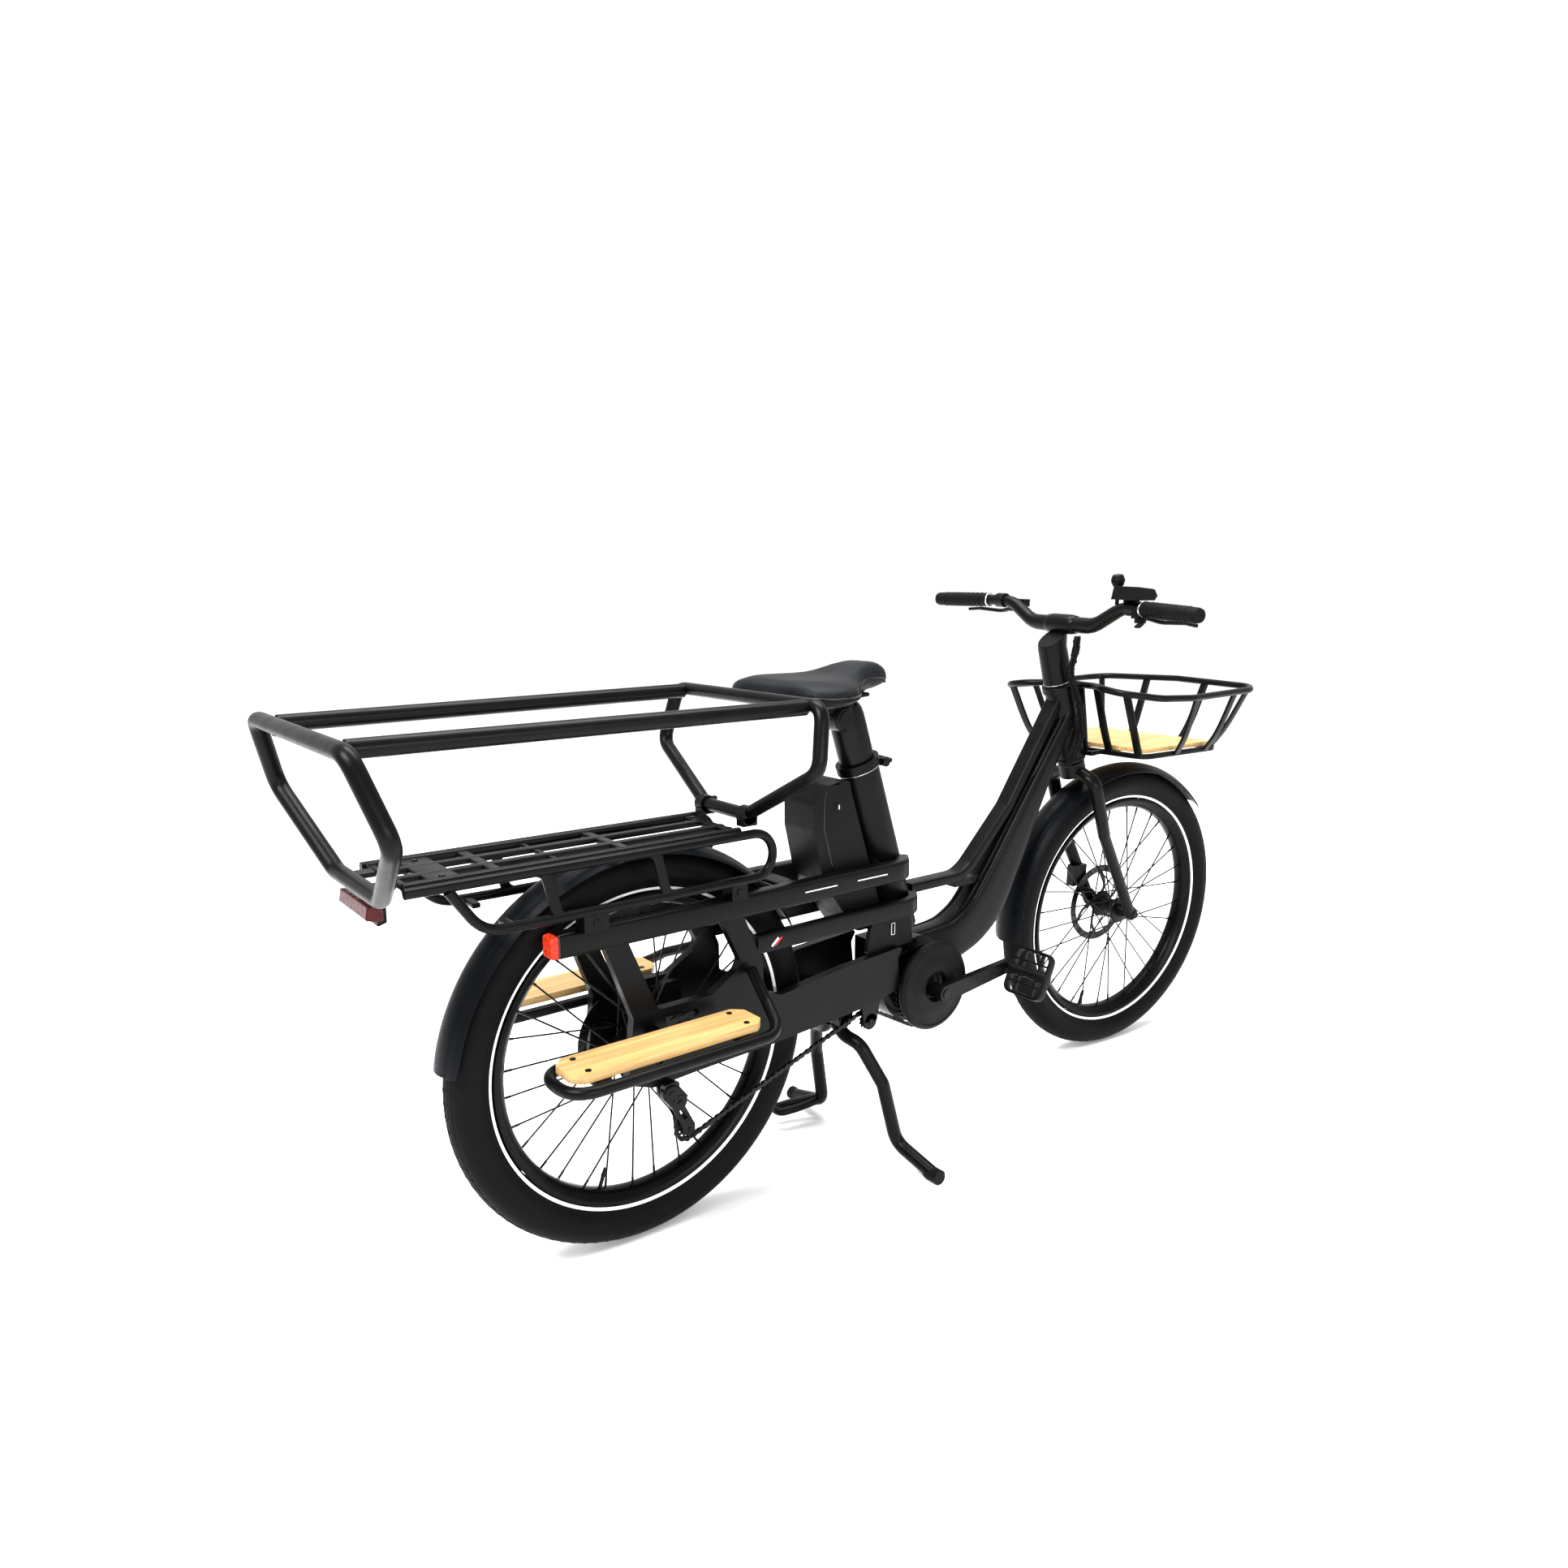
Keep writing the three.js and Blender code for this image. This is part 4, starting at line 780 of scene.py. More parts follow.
filler = plate(rounded([(440, 398), (556, 400), (548, 458), (452, 458)], 8, 5), -60, -50)
tag = sweep(ring_path([(500, -60.6, 424), (508, -60.6, 424), (508, -60.6, 446), (500, -60.6, 446)], 1.5, 3),
            box_section(1.2, 0.8, 0.3, 1), Y, closed=True)
idler_arm = merge(
    plate([(434, 269), (466, 269), (474, 312), (426, 312)], -62, -56), disc(16, *IDLER, -62, -56, 32),
    disc(4, *IDLER, -64, -44, 16), disc(6, *IDLER, -64.5, -61, 6, 0.6),
)
hanger = plate([(-12, 300), (14, 300), (12, 262), (-6, 262)], -66, -60)
stay_piece("chainstay_right", mirrored, [(filler, PLASTIC), (tag, WHITE), (idler_arm, METAL), (hanger, METAL)])
caliper = merge(
    block(60, 102, 32, 40, 352, 400), block(60, 102, 45, 60, 352, 400), block(66, 96, 34, 58, 392, 404),
    disc(9, 72, 384, 58, 64, 24, 2), disc(9, 92, 366, 58, 64, 24, 2),
)
stay_piece("chainstay_left", same, [(caliper, METAL)])


# ---------------------------------------------------------------- motor and cranks
motor = merge(
    lathe([(20, 54), (72, 54), (84, 44), (84, -30), (70, -39), (20, -39)], *MOTOR, 96),
    plate([(509, 333), (509, 394), (590, 396), (590, 333)], -37, 50),
    *[disc(5, MOTOR[0] + 74 * math.cos(a), MOTOR[1] + 74 * math.sin(a), 50, 55, 6, 0.5)
      for a in (0.5, 1.6, 2.9, 4.1, 5.3)],
)
piece("motor_piece", "frame", [(motor, METAL)], ["motor_housing"], bevel=2)
cover = lathe([
    (28, -88), (30, -90.4), (34, -90.8), (54, -90.4), (56, -89.6), (74, -88.4), (76, -89.6), (81, -88.4),
    (85.4, -83), (86, -78), (84.5, -75), (28, -76),
], *MOTOR, 128)
piece("cover_piece", "frame", [(cover, PLASTIC)], ["chainring_cover"], sharp=25)


def crank_arm(direction):
    along = Vector((math.cos(CRANK_ANGLE), 0, math.sin(CRANK_ANGLE))) * direction
    side = Vector((-along.z, 0, along.x))
    base = Vector((CRANK[0], 0, CRANK[1]))
    tip = base + along * CRANK_LENGTH
    outline = []
    for end, start, r in ((base, math.pi / 2, 16.5), (tip, -math.pi / 2, 12.5)):
        for k in range(13):
            a = start + math.pi * k / 12
            outline.append(end + along * (r * math.cos(a)) + side * (r * math.sin(a)))
    return [(p.x, p.z) for p in outline], (tip.x, tip.z)


def crank_parts(direction, y0, y1):
    outline, tip = crank_arm(direction)
    out = -1 if y0 < 0 else 1
    outer = y0 if out < 0 else y1
    bolt = disc(9, *CRANK, min(outer, outer + out * 1.5) - 0.5, max(outer, outer + out * 1.5), 32, 1)
    axle = disc(5, *tip, min(outer - out * 2, out * 205), max(outer - out * 2, out * 205), 20)
    return [(plate(outline, y0, y1), METAL), (bolt, CHAIN), (axle, CHAIN)]


ring = merge(sprocket(*CRANK, 72, 38, -51, -48, 4), disc(14, *CRANK, -108, -46, 40, 2))
piece("crank_right_piece", "crankset", [*crank_parts(1, -112, -98), (ring, METAL)],
      ["crank_right"], bevel=2.4)
axle_bar = disc(8.4, *CRANK, -112, 100, 32)
piece("crank_left_piece", "crankset", [*crank_parts(-1, 98, 112), (axle_bar, CHAIN)],
      ["crank_left"], bevel=2.4)


def pedal(x, z, y0, y1):
    """An open platform: a rounded outer frame, a centre barrel, cross ribs and grip pins."""
    middle = (y0 + y1) / 2
    half = (y1 - y0) / 2
    edge = ring_path([(-44, -half + 3, 0), (44, -half + 3, 0), (44, half - 3, 0), (-44, half - 3, 0)], 16, 6)
    outer = sweep(edge, box_section(17, 6, 1.6, 2), Z, closed=True)
    ribs = [bar((-44, y, 0), (44, y, 0), 4, 10, 1) for y in (-half / 2.2, half / 2.2)]
    walls = [bar((x, -half + 4, 0), (x, half - 4, 0), 4, 11, 1, X) for x in (-22, 22)]
    profile = [(5.6, half - 2), (11, half - 2), (9, 0), (12, -half + 14), (11, -half + 1), (5.6, -half + 1)]
    pins = [rod((x, y, -10), (x, y, 10), 1.4, 8) for x in (-41, 41) for y in (-34, -17, 0, 17, 34)]
    shape = merge(outer, *ribs, *walls, lathe(profile, 0, 0, 40), *pins)
    return moved(shape, Matrix.Translation((x, middle, z)) @ Matrix.Rotation(math.radians(-65), 4, "Y"))


for name, direction, y0, y1 in (("right", 1, -208, -118), ("left", -1, 118, 208)):
    reach = direction * CRANK_LENGTH
    at = (CRANK[0] + reach * math.cos(CRANK_ANGLE), CRANK[1] + reach * math.sin(CRANK_ANGLE))
    piece(f"pedal_{name}_piece", f"{name}_pedal", [(pedal(*at, y0, y1), PLASTIC)],
          [f"pedal_{name}"])


# ---------------------------------------------------------------- mudguards
def fender(x, start, stop, half):
    outer, inner = [], []
    for i in range(-12, 13):
        s = i / 12
        crease = 1.2 * math.exp(-((abs(s) - 0.62) / 0.05) ** 2)
        drop = 16 * s * s + crease
        outer.append((s * half, drop))
        inner.append((s * (half - 1.6), drop + 2.2))

    def narrowing(t):
        return 1 - 0.10 * max(0, abs(t - 0.5) * 2 - 0.97) / 0.03

    return sweep(arc(x, WHEEL_R, 338.5, start, stop, 90), outer + inner[::-1], Y, size=narrowing)


piece("rear_fender_piece", "frame", [(fender(0, 28, 172, 40), NAVY)], ["rear_fender"],
      bevel=0.8)
piece("front_fender_piece", "steering", [(fender(WHEELBASE, 42, 184, 38.5), NAVY)],
      ["front_fender"], steer=True, bevel=0.8)


# ---------------------------------------------------------------- carrier
def deck():
    middle, low, end = DECK_Z - 5, DECK_Z - 5.4, 71
    shapes = [bar((-386, y, middle), (150, y, middle), 14, 9, 2.5) for y in (-24, 24)]
    shapes += [sweep([(-388, y, middle), (150, y, middle)], oval(15, 15, 24)) for y in (-end, end)]
    for x, width, height in ((-383, 10, 8.6), (-254, 16, 8.6), (-52, 16, 8.6), (142, 16, 8.6), (-328, 44, 8.8)):
        shapes.append(bar((x, -end, low), (x, end, low), width, height, 2.4, X))
    shapes.append(bar((-160, -end, DECK_Z - 6), (-160, end, DECK_Z - 6), 8, 6, 2, X))
    return merge(*shapes)


deck_bolts = merge(*[
    rod((x, y, DECK_Z - 1.4), (x, y, DECK_Z + 0.6), 5, 6) for x in (-328, 142) for y in (-52, 52)
])
piece("deck_piece", "frame", [(deck(), PAINT), (deck_bolts, METAL)], ["rack_deck"], bevel=0.8)


def rack_loop():
    y, high, low = -87, DECK_Z - 8, 594
    middle, r = (high + low) / 2, (high - low) / 2
    nose = arc(168, middle, r, 90, -90, 16, y)
    path = [Vector((-392, y, high)), Vector((-100, y, high)), *nose, Vector((-100, y, low)),
            *bend([(-200, y, low), (-288, y, low + 1), (-334, y, high - 6)], 60, 8)]
    shapes = [sweep(path, oval(15, 15, 24))]
    for x in (-180, 0):
        brace = bend([(x - 26, y, high), (x - 14, y, high - 6), (x + 2, y, low + 6), (x + 12, y, low)], 12, 4)
        shapes.append(sweep(brace, box_section(7, 16, 2)))
    for x, w in ((-140, 40), (120, 30)):
        shapes.append(block(x, x + w, y - 6, y + 22, 563.6, low - 4))
        shapes.append(disc(6, x + w / 2, 577, y - 8, y - 5, 24, 1))
    shapes.append(bar((-243, y, low), (-243, -46, low - 1), 13, 8, 2, X))
    return merge(*shapes)


for name, flip in (("rack_loop_right", same), ("rack_loop_left", mirrored)):
    piece(f"{name}_piece", "frame", [(flip(rack_loop()), PAINT)], [name], bevel=1.0)


# ---------------------------------------------------------------- passenger guard
def hoop(foot, top, outline, radius):
    """A closed flat-oval tube whose outer edge follows the outline, leaning from foot to top."""
    lean = Vector((top[0] - foot[0], 0, top[1] - foot[1]))
    tall = lean.length
    up = lean.normalized()
    base = Vector((foot[0], 0, foot[1]))
    points = [Y * across + base + up * (share * tall) for across, share in outline]
    centre = base + up * tall / 2
    path = ring_path(points, radius, 10)
    inward = []
    for i, p in enumerate(path):
        along = (path[(i + 1) % len(path)] - path[i - 1]).normalized()
        normal = along.cross(Y.cross(up)).normalized()
        if normal.dot(centre - p) < 0:
            normal = -normal
        inward.append(p + normal * 11.3)
    return sweep(inward, oval(25, 22, 24), Y.cross(up).normalized(), closed=True)


# Outlines: y, and the height as a share of the whole.
REAR_OUTLINE = [(-98, 0), (98, 0), (262, 0.48), (216, 1), (-216, 1), (-262, 0.48)]
FRONT_OUTLINE = [(-62, 0), (62, 0), (230, 0.45), (210, 1), (-210, 1), (-230, 0.45)]
rear_hoop = hoop((-419, 655), (-488, 884), REAR_OUTLINE, 44)
tabs = merge(*[block(-412, -389.5, y - 13, y + 13, DECK_Z - 9, DECK_Z - 2) for y in (-40, 40)])
screws = merge(*[rod((-470, s * 152, 857), (-474, s * 152, 851), 5.4, 20) for s in (-1, 1)])
piece("rear_hoop_piece", "frame", [(rear_hoop, PAINT), (tabs, PAINT), (screws, STEEL)],
      ["rear_hoop"], bevel=0.8)
front_hoop = hoop((172, 682), (215, 888), FRONT_OUTLINE, 44)
clamps = merge(*[
    merge(sweep([(173, y - 10, 693), (173, y + 10, 693)], oval(31, 31, 32), X),
          block(159, 187, y - 10, y + 10, DECK_Z + 0.5, 690), disc(4, 193, 700, y - 4, y + 4, 16))
    for y in (-60, 60)
])
piece("front_hoop_piece", "frame", [(front_hoop, PAINT), (clamps, METAL)], ["front_hoop"],
      bevel=0.8)
guard = sweep([(-470, -152, 870), (-100, -161, 872.2), (203, -170, 874)], oval(25, 25, 32))
for name, flip in (("right", same), ("left", mirrored)):
    piece(f"guard_{name}_piece", "frame", [(flip(guard), PAINT)], [f"guard_rail_{name}"])


# ---------------------------------------------------------------- lights
for name, y in (("tail_light_right", -59), ("tail_light_left", 59)):
    glass = plate(rounded([(-184, 528), (-171, 527), (-171, 561.5), (-184, 560)], 4, 4), y - 12.4, y + 12.4)
    rim = bar((-171.5, y, 544.2), (-168.5, y, 544.2), 36, 26.6, 4, Z)
    piece(f"{name}_piece", "frame", [(glass, RED), (rim, GLOSS)], [name], bevel=2.4)
glass = plate([(-433, 632), (-418, 627), (-410, 628), (-410, 649), (-430, 650.6)], -58, 58)
back = plate([(-409.6, 612), (-396.5, 616), (-396.5, 645), (-404, 650.4), (-409.6, 649)], -30, 30)
piece("rack_light_piece", "frame", [(glass, DARK_RED), (back, PLASTIC)], ["rack_light"], bevel=2.0)


# ---------------------------------------------------------------- footboards
def board():
    edge = [(-214, 134), (-198, 118), (96, 118), (112, 134), (112, 176), (96, 192), (-198, 192), (-214, 176)]
    heads, slots = [], []
    for x in (-186, 84):
        for y in (132, 178):
            heads.append(rod((x, y, 399.4), (x, y, 401.0), 4.6, 24))
            slots.append(bar((x - 3.4, y, 401.0), (x + 3.4, y, 401.0), 1.5, 0.6, 0.2, Y, 1))
    return [(lying(rounded(edge, 8, 4), 388.2, 400), BOARD), (merge(*heads), METAL), (merge(*slots), GLOSS)]


for name, flip in (("footboard_right", mirrored), ("footboard_left", same)):
    parts = [(flip(shape), stuff) for shape, stuff in board()]
    piece(f"{name}_piece", "frame", parts, [name], bevel=2.2)


def foot_frame():
    z = 379
    loop = bend([
        (166, 80, 438), (144, 150, 410), (130, 203, z), (-224, 203, z), (-224, 105, z), (112, 105, z),
    ], 46, 12)
    shapes = [sweep(loop, oval(18, 18, 28), Z)]
    shapes += [bar((x, 101, 382), (x, 200, 382), 24, 10.6, 2, X) for x in (-170, 70)]
    shapes += [bar((x, 73.6, z), (x, 108, z), 20, 10, 2, X) for x in (-20, 36)]
    return merge(*shapes)


for name, flip in (("left", same), ("right", mirrored)):
    piece(f"foot_frame_{name}_piece", "frame", [(flip(foot_frame()), PAINT)],
          [f"footboard_frame_{name}"], bevel=0.8)


# ---------------------------------------------------------------- battery
case = plate(rounded([
    (330, 690), (362, 716), (410, 722), (414, 700), (500, 440), (430, 440), (352, 545), (330, 640),
], 18, 6), -42, 42)
lock = merge(disc(9, 384, 676, -43.4, -41, 40, 0.8), disc(6.4, 384, 676, -44, -42, 40, 0.8))
slot_mark = block(382.6, 385.4, -44.4, -43.4, 672, 680)
seam = both(sweep([(356, 42.0, 706), (352, 42.0, 690), (352, 42.0, 640), (374, 42.0, 560)],
                  box_section(1.2, 2.4, 0.4, 1)))
piece("battery_piece", "battery", [(case, PLASTIC), (lock, METAL), (slot_mark, STEEL), (seam, GLOSS)],
      ["battery"], bevel=11, segments=6)


# ---------------------------------------------------------------- seat
def seat_post():
    hood = sweep([on_seat_axis(d) for d in (3, 8, 40, 70, 84, 96, 104, 109)], oval(56, 70, 48), Y,
                 size=lambda t: 1 - 0.34 * max(0, (t - 0.45) / 0.55) ** 2.4)
    post = sweep([on_seat_axis(4), on_seat_axis(-195)], oval(31, 31, 36))
    top = on_seat_axis(118)
    hinge = (top.x - 18, top.z - 30)
    cap = merge(disc(23, *hinge, -32, 32, 56, 5), disc(15, *hinge, -34, 34, 48, 1.6))
    base = merge(
        sweep(spline([(top.x - 126, 0, 866), (top.x - 60, 0, 863), (top.x - 10, 0, 864), (top.x + 36, 0, 867)]),
              box_section(64, 7, 2.4)),
        block(top.x - 60, top.x + 8, -22, 22, 838, 862),
        *[sweep(bend([(top.x - 118, s * 26, 870), (top.x - 60, s * 20, 860), (top.x + 10, s * 18, 862),
                      (top.x + 60, s * 8, 884)], 40, 6), oval(8, 8, 16)) for s in (-1, 1)],
    )
    return [(merge(hood, cap), METAL), (post, METAL), (base, PLASTIC)]


piece("seat_post_piece", "seat", seat_post(), ["seat_post"], bevel=2.0)


def saddle_shape():
    """Stations from the broad tail to the nose: x, half width, height of the rim, crown and underside."""
    stations = [
        (257.5, 70, 882, 893, 870), (260, 96, 879, 898, 864), (270, 119, 877, 901.5, 859),
        (294, 133, 875, 903, 856.5), (326, 137, 876, 903, 856.5), (352, 128, 878, 903, 858),
        (376, 107, 881, 904, 861), (396, 84, 885, 907, 864), (414, 66, 890, 913, 867), (434, 54, 895, 919.5, 871),
        (458, 46, 898, 924, 875), (484, 40, 898, 925, 879), (504, 32, 895, 918, 884), (515, 22, 893, 909, 887),
        (519, 11, 896, 901, 892),
    ]
    ring = [(math.cos(a), math.sin(a)) for a in (2 * math.pi * k / 32 for k in range(32))]
    verts, faces = [], []
    for x, half, rim, crown, under in stations:
        for c, s in ring:
            spread_out = math.copysign(abs(c) ** 0.62, c)
            if s >= 0:
                dip = 3.2 * math.exp(-((c / 0.22) ** 2)) * min(1, half / 80)
                z = rim + (crown - rim) * s**0.75 - dip
            else:
                z = rim + (rim - under) * s * abs(s) ** -0.25 if s else rim
            verts.append(Vector((x, spread_out * half, z)))
    count = len(ring)
    for i in range(len(stations) - 1):
        for k in range(count):
            m = (k + 1) % count
            faces.append((i * count + m, i * count + k, (i + 1) * count + k, (i + 1) * count + m))
    faces.append(tuple(range(count)))
    faces.append(tuple((len(stations) - 1) * count + k for k in reversed(range(count))))
    return verts, faces


def seam_path(height, push):
    """Along the saddle's edge: x, y, and the rise above the given height."""
    points = [
        (262, 93, 0), (274, 119, -1), (296, 134.5, -2), (326, 138.5, -1), (352, 127.5, 0), (376, 105.5, 2),
        (396, 81.5, 6), (414, 62.5, 11), (434, 50.5, 16), (458, 42, 18), (484, 37, 17), (504, 30, 14),
    ]
    return [Vector((x, y + push, height + rise)) for x, y, rise in points]


MOST_PUFF = 0.0022
saddle = piece("saddle_piece", "seat", [(saddle_shape(), LEATHER)], ["saddle"], subdivide=1)
# The cover is puffed up a little by a short cloth run over a fine remesh, then smoothed.
bpy.context.view_layer.objects.active = saddle
for modifier in list(saddle.modifiers):
    saddle.modifiers.remove(modifier)
remesh = saddle.modifiers.new("remesh", "REMESH")
remesh.mode = "VOXEL"
remesh.voxel_size = 0.005
graph = bpy.context.evaluated_depsgraph_get()
fine = bpy.data.meshes.new_from_object(saddle.evaluated_get(graph))
start = [v.co.copy() for v in fine.vertices]
saddle.modifiers.clear()
saddle.data = fine
cloth = saddle.modifiers.new("cloth", "CLOTH")
cloth.settings.use_pressure = True
cloth.settings.uniform_pressure_force = 3
cloth.settings.effector_weights.gravity = 0
cloth.settings.quality = 5
scene = bpy.context.scene
scene.frame_start, scene.frame_end = 1, 14
for number in range(1, 13):
    scene.frame_set(number)
graph = bpy.context.evaluated_depsgraph_get()
puffed = [v.co.copy() for v in saddle.evaluated_get(graph).data.vertices]
saddle.modifiers.clear()
for vertex, was, now in zip(fine.vertices, start, puffed):
    shift = now - was
    vertex.co = was + shift * min(1, MOST_PUFF / max(shift.length, 1e-9))
scene.frame_set(1)
fine.materials.clear()
fine.materials.append(LEATHER)
fine.shade_smooth()
smooth = saddle.modifiers.new("even", "SMOOTH")
smooth.factor, smooth.iterations = 0.5, 6
saddle.modifiers.new("fine", "SUBSURF").levels = 1
saddle.modifiers["fine"].render_levels = 1

trim = both(sweep(spline(seam_path(879, 0.4), 4), oval(2.2, 2.2, 10), Z))
shell_under = both(sweep(spline(seam_path(873, -8), 4), box_section(4, 12, 1.6), Z))
piece("saddle_trim", "seat", [(trim, GLOSS), (shell_under, PLASTIC)])

lever = merge(
    disc(4, 514, 740, -26, 22, 20), disc(8.6, 514, 740, -27.6, -17, 32, 2),
    sweep(bend([(514, -24, 740), (528, -23, 742), (534, -10, 742), (534, 20, 743)], 9, 6), box_section(7, 6, 2.2), Z),
)
piece("seat_lever_piece", "quick_release", [(lever, METAL)], ["seat_lever"])


# ---------------------------------------------------------------- centre stand
def stand():
    path = bend([
        (410, 10, 262), (416, 26, 240), (424, 62, 232), (452, 95, 158), (478, 106, 40), (484, 200, 13.5),
    ], 34, 10)
    leg = sweep(path, oval(25, 25, 28), Vector((1, 0, 0.2)))
    foot = merge(rod((484, 184, 13.6), (484, 213, 13.6), 13.4, 32), rod((484, 180, 13.6), (484, 186, 13.6), 11.5, 32))
    tang = sweep(bend([
        (477, 108, 42), (420, 116, 36), (384, 124, 34), (384, 150, 34), (420, 144, 36), (476, 124, 40),
    ], 18, 8), oval(15, 15, 24), Z)
    cross = disc(13, *STAND_PIVOT, -30.5, 30.5, 36, 1)
    return [(merge(both(leg), cross, tang), PAINT), (both(foot), GRIP)]


piece("stand_piece", "stand", stand(), ["centre_stand"])
bracket = merge(
    block(372, 448, -40, 55.4, 298, 306),
    *[merge(plate([(396, 262), (424, 262), (432, 300), (388, 300)], y - 3, y + 3),
            disc(13, *STAND_PIVOT, y - 3, y + 3, 32)) for y in (-34, 34)],
    disc(5, *STAND_PIVOT, -39, 39, 20), disc(7.5, *STAND_PIVOT, -41, -37, 6, 0.8),
    *[rod((x, y, 305), (x, y, 309), 6, 6) for x in (384, 436) for y in (-24, 24)],
)
piece("stand_bracket_piece", "frame", [(bracket, METAL)], ["stand_bracket"], bevel=1.2)


# ---------------------------------------------------------------- fork and steering
def fork():
    top, shoulder = on_steer_axis(664), on_steer_axis(640)
    crown = sweep([on_steer_axis(z) for z in (682, 676, 656, 652)], oval(54, 58, 40))

    path = bend([
        (top.x, 10, top.z), (shoulder.x - 2, 62, shoulder.z + 4), (shoulder.x + 40, 62, 520),
        (WHEELBASE - 4, 60, WHEEL_R),
    ], 30, 12)
    axle = (WHEELBASE, WHEEL_R)
    leg = merge(
        sweep(path, oval(26, 34, 32), Vector((0, 1, 0.4)), size=lambda t: 1 - 0.16 * t),
        disc(15, *axle, 52, 66, 36, 2), disc(9.5, *axle, 66, 73, 6, 1), disc(11, *axle, 65, 67.5, 32, 0.5),
    )
    caliper = merge(block(WHEELBASE - 84, WHEELBASE - 42, 42, 62, 374, 422),
                    disc(8, WHEELBASE - 62, 398, 60, 66, 24, 2))
    return [(merge(crown, both(leg)), PAINT), (caliper, METAL)]


piece("fork_piece", "steering", fork(), ["fork"], steer=True, bevel=1.0)


def stem():
    """The column flares forward into the bar clamp under a slanted top."""
    base, high = on_steer_axis(857), on_steer_axis(948)
    section = oval(56, 66, 56)
    path = [base, base + STEER_AXIS * 3, on_steer_axis(900), on_steer_axis(930), high + Vector((5, 0, 0))]
    column = sweep(path, section, size=lambda t: 1.0 - 0.06 * t)
    for vertex in column[0][-len(section):]:
        vertex.z += (vertex.x - high.x) * 0.62
    clamp = lathe([(15.5, 40), (18.5, 37), (20.5, 24), (20.5, -24), (18.5, -37), (15.5, -40)], 1031, 977, 56)
    edge = sweep([base, base + STEER_AXIS * 1.4], oval(57, 67, 48))
    bolts = merge(*[rod((1052, y, 968), (1058, y, 965), 4, 16) for y in (-22, 22)])
    return [(merge(column, clamp), PAINT), (edge, STEEL), (bolts, METAL)]


piece("stem_piece", "steering", stem(), ["stem"], steer=True, bevel=3.0)


def bar_half(side):
    points = [(1031, 0, 977), (1031, 84, 977), (1034, 152, 1017), (1024, 200, 1018), (1000, 345, 1014)]
    return [(x, side * y, z) for x, y, z in points]


def handlebar():
    left, right = bend(bar_half(1), 74, 12), bend(bar_half(-1), 74, 12)
    path = [*reversed(right), *left[1:]]

    def width(t):
        middle = abs(t - 0.5) * 2
        return 1.0 + 0.5 * max(0, 1 - middle / 0.66) ** 0.9

    bar = sweep(path, oval(22, 22, 36), Z, size=width)
    perches = []
    for s in (-1, 1):
        x, y, z = 1029, s * BAR_Y, 1018
        perches.append(merge(
            sweep([(x, y - 12, z), (x, y + 12, z)], oval(31, 31, 36), X),
            block(x + 8, x + 26, y - 12, y + 12, z - 11, z + 8), block(x + 22, x + 46, y - 9, y + 9, z - 10.6, z + 2),
            block(x + 14, x + 32, y - s * 48 - 6, y - s * 4, z - 12, z + 4),
        ))
    rings = [sweep([(1022.6, s * 211, 1017.7), (1021.9, s * 215, 1017.6)], oval(32, 32, 40), Z) for s in (1, -1)]
    pods = merge(block(1008, 1036, -210, -194, 999.6, 1014), block(1018, 1036, -172, -164, 1020, 1033.4),
                 disc(13, 1033, 1008, -142, -130, 32, 2))
    return [(bar, PAINT), (merge(*perches), METAL), (merge(*rings), STEEL), (pods, PLASTIC)]


piece("handlebar_piece", "steering", handlebar(), ["handlebar"], steer=True, bevel=1.6)


def grip(side, name):
    start, end = Vector((1021.5, side * 215.4, 1017.6)), Vector((998, side * 357, 1013.7))
    path = [start.lerp(end, i / 24) for i in range(25)]

    def width(t):
        flange = 0.10 * math.exp(-((t - 0.02) / 0.025) ** 2)
        palm = 0.06 * math.sin(math.pi * t) ** 2
        return 0.94 + flange + palm - 0.10 * max(0, t - 0.96) / 0.04

    shape = sweep(path, oval(31, 31, 36), Z, size=width)
    ribs = []
    for k in range(9):
        at = start.lerp(end, 0.12 + 0.085 * k)
        ribs.append(sweep([at, at + (end - start).normalized() * 3], oval(31.4, 31.4, 36), Z))
    piece(f"{name}_piece", "steering", [(merge(shape, *ribs), GRIP)], [name], steer=True, bevel=0.7)


grip(1, "grip_left")
grip(-1, "grip_right")


def brake_lever(side, name, body):
    x, y, z = 1029, side * BAR_Y, 1018
    path = bend([(x + 36, y + side * 4, z - 18), (x + 42, y + side * 40, z - 26), (x + 30, y + side * 100, z - 23),
                 (x + 24, y + side * 130, z - 26)], 50, 8)
    blade = sweep(path, box_section(9, 12, 4), Z, size=lambda t: 1 - 0.25 * t)
    pivot = rod((x + 36, y, z - 24), (x + 36, y, z - 11.4), 8, 24)
    piece(f"{name}_piece", body, [(blade, METAL), (pivot, METAL)], [name], steer=True)


brake_lever(-1, "brake_lever_right", "right_brake_lever")
brake_lever(1, "brake_lever_left", "left_brake_lever")

screen_body = plate([(998, 1034), (1056, 1034), (1063, 1043), (1054, 1055), (1004, 1059)], -209, -151)
tilt = Matrix.Translation((1029, -BAR_Y, 1057.4)) @ Matrix.Rotation(math.radians(4.6), 4, "Y")
screen = moved(block(-23, 23, -27, 27, -0.4, 0.5), tilt)
piece("display_piece", "steering", [(screen_body, PLASTIC), (screen, GLOSS)], ["display"],
      steer=True, bevel=3.0)

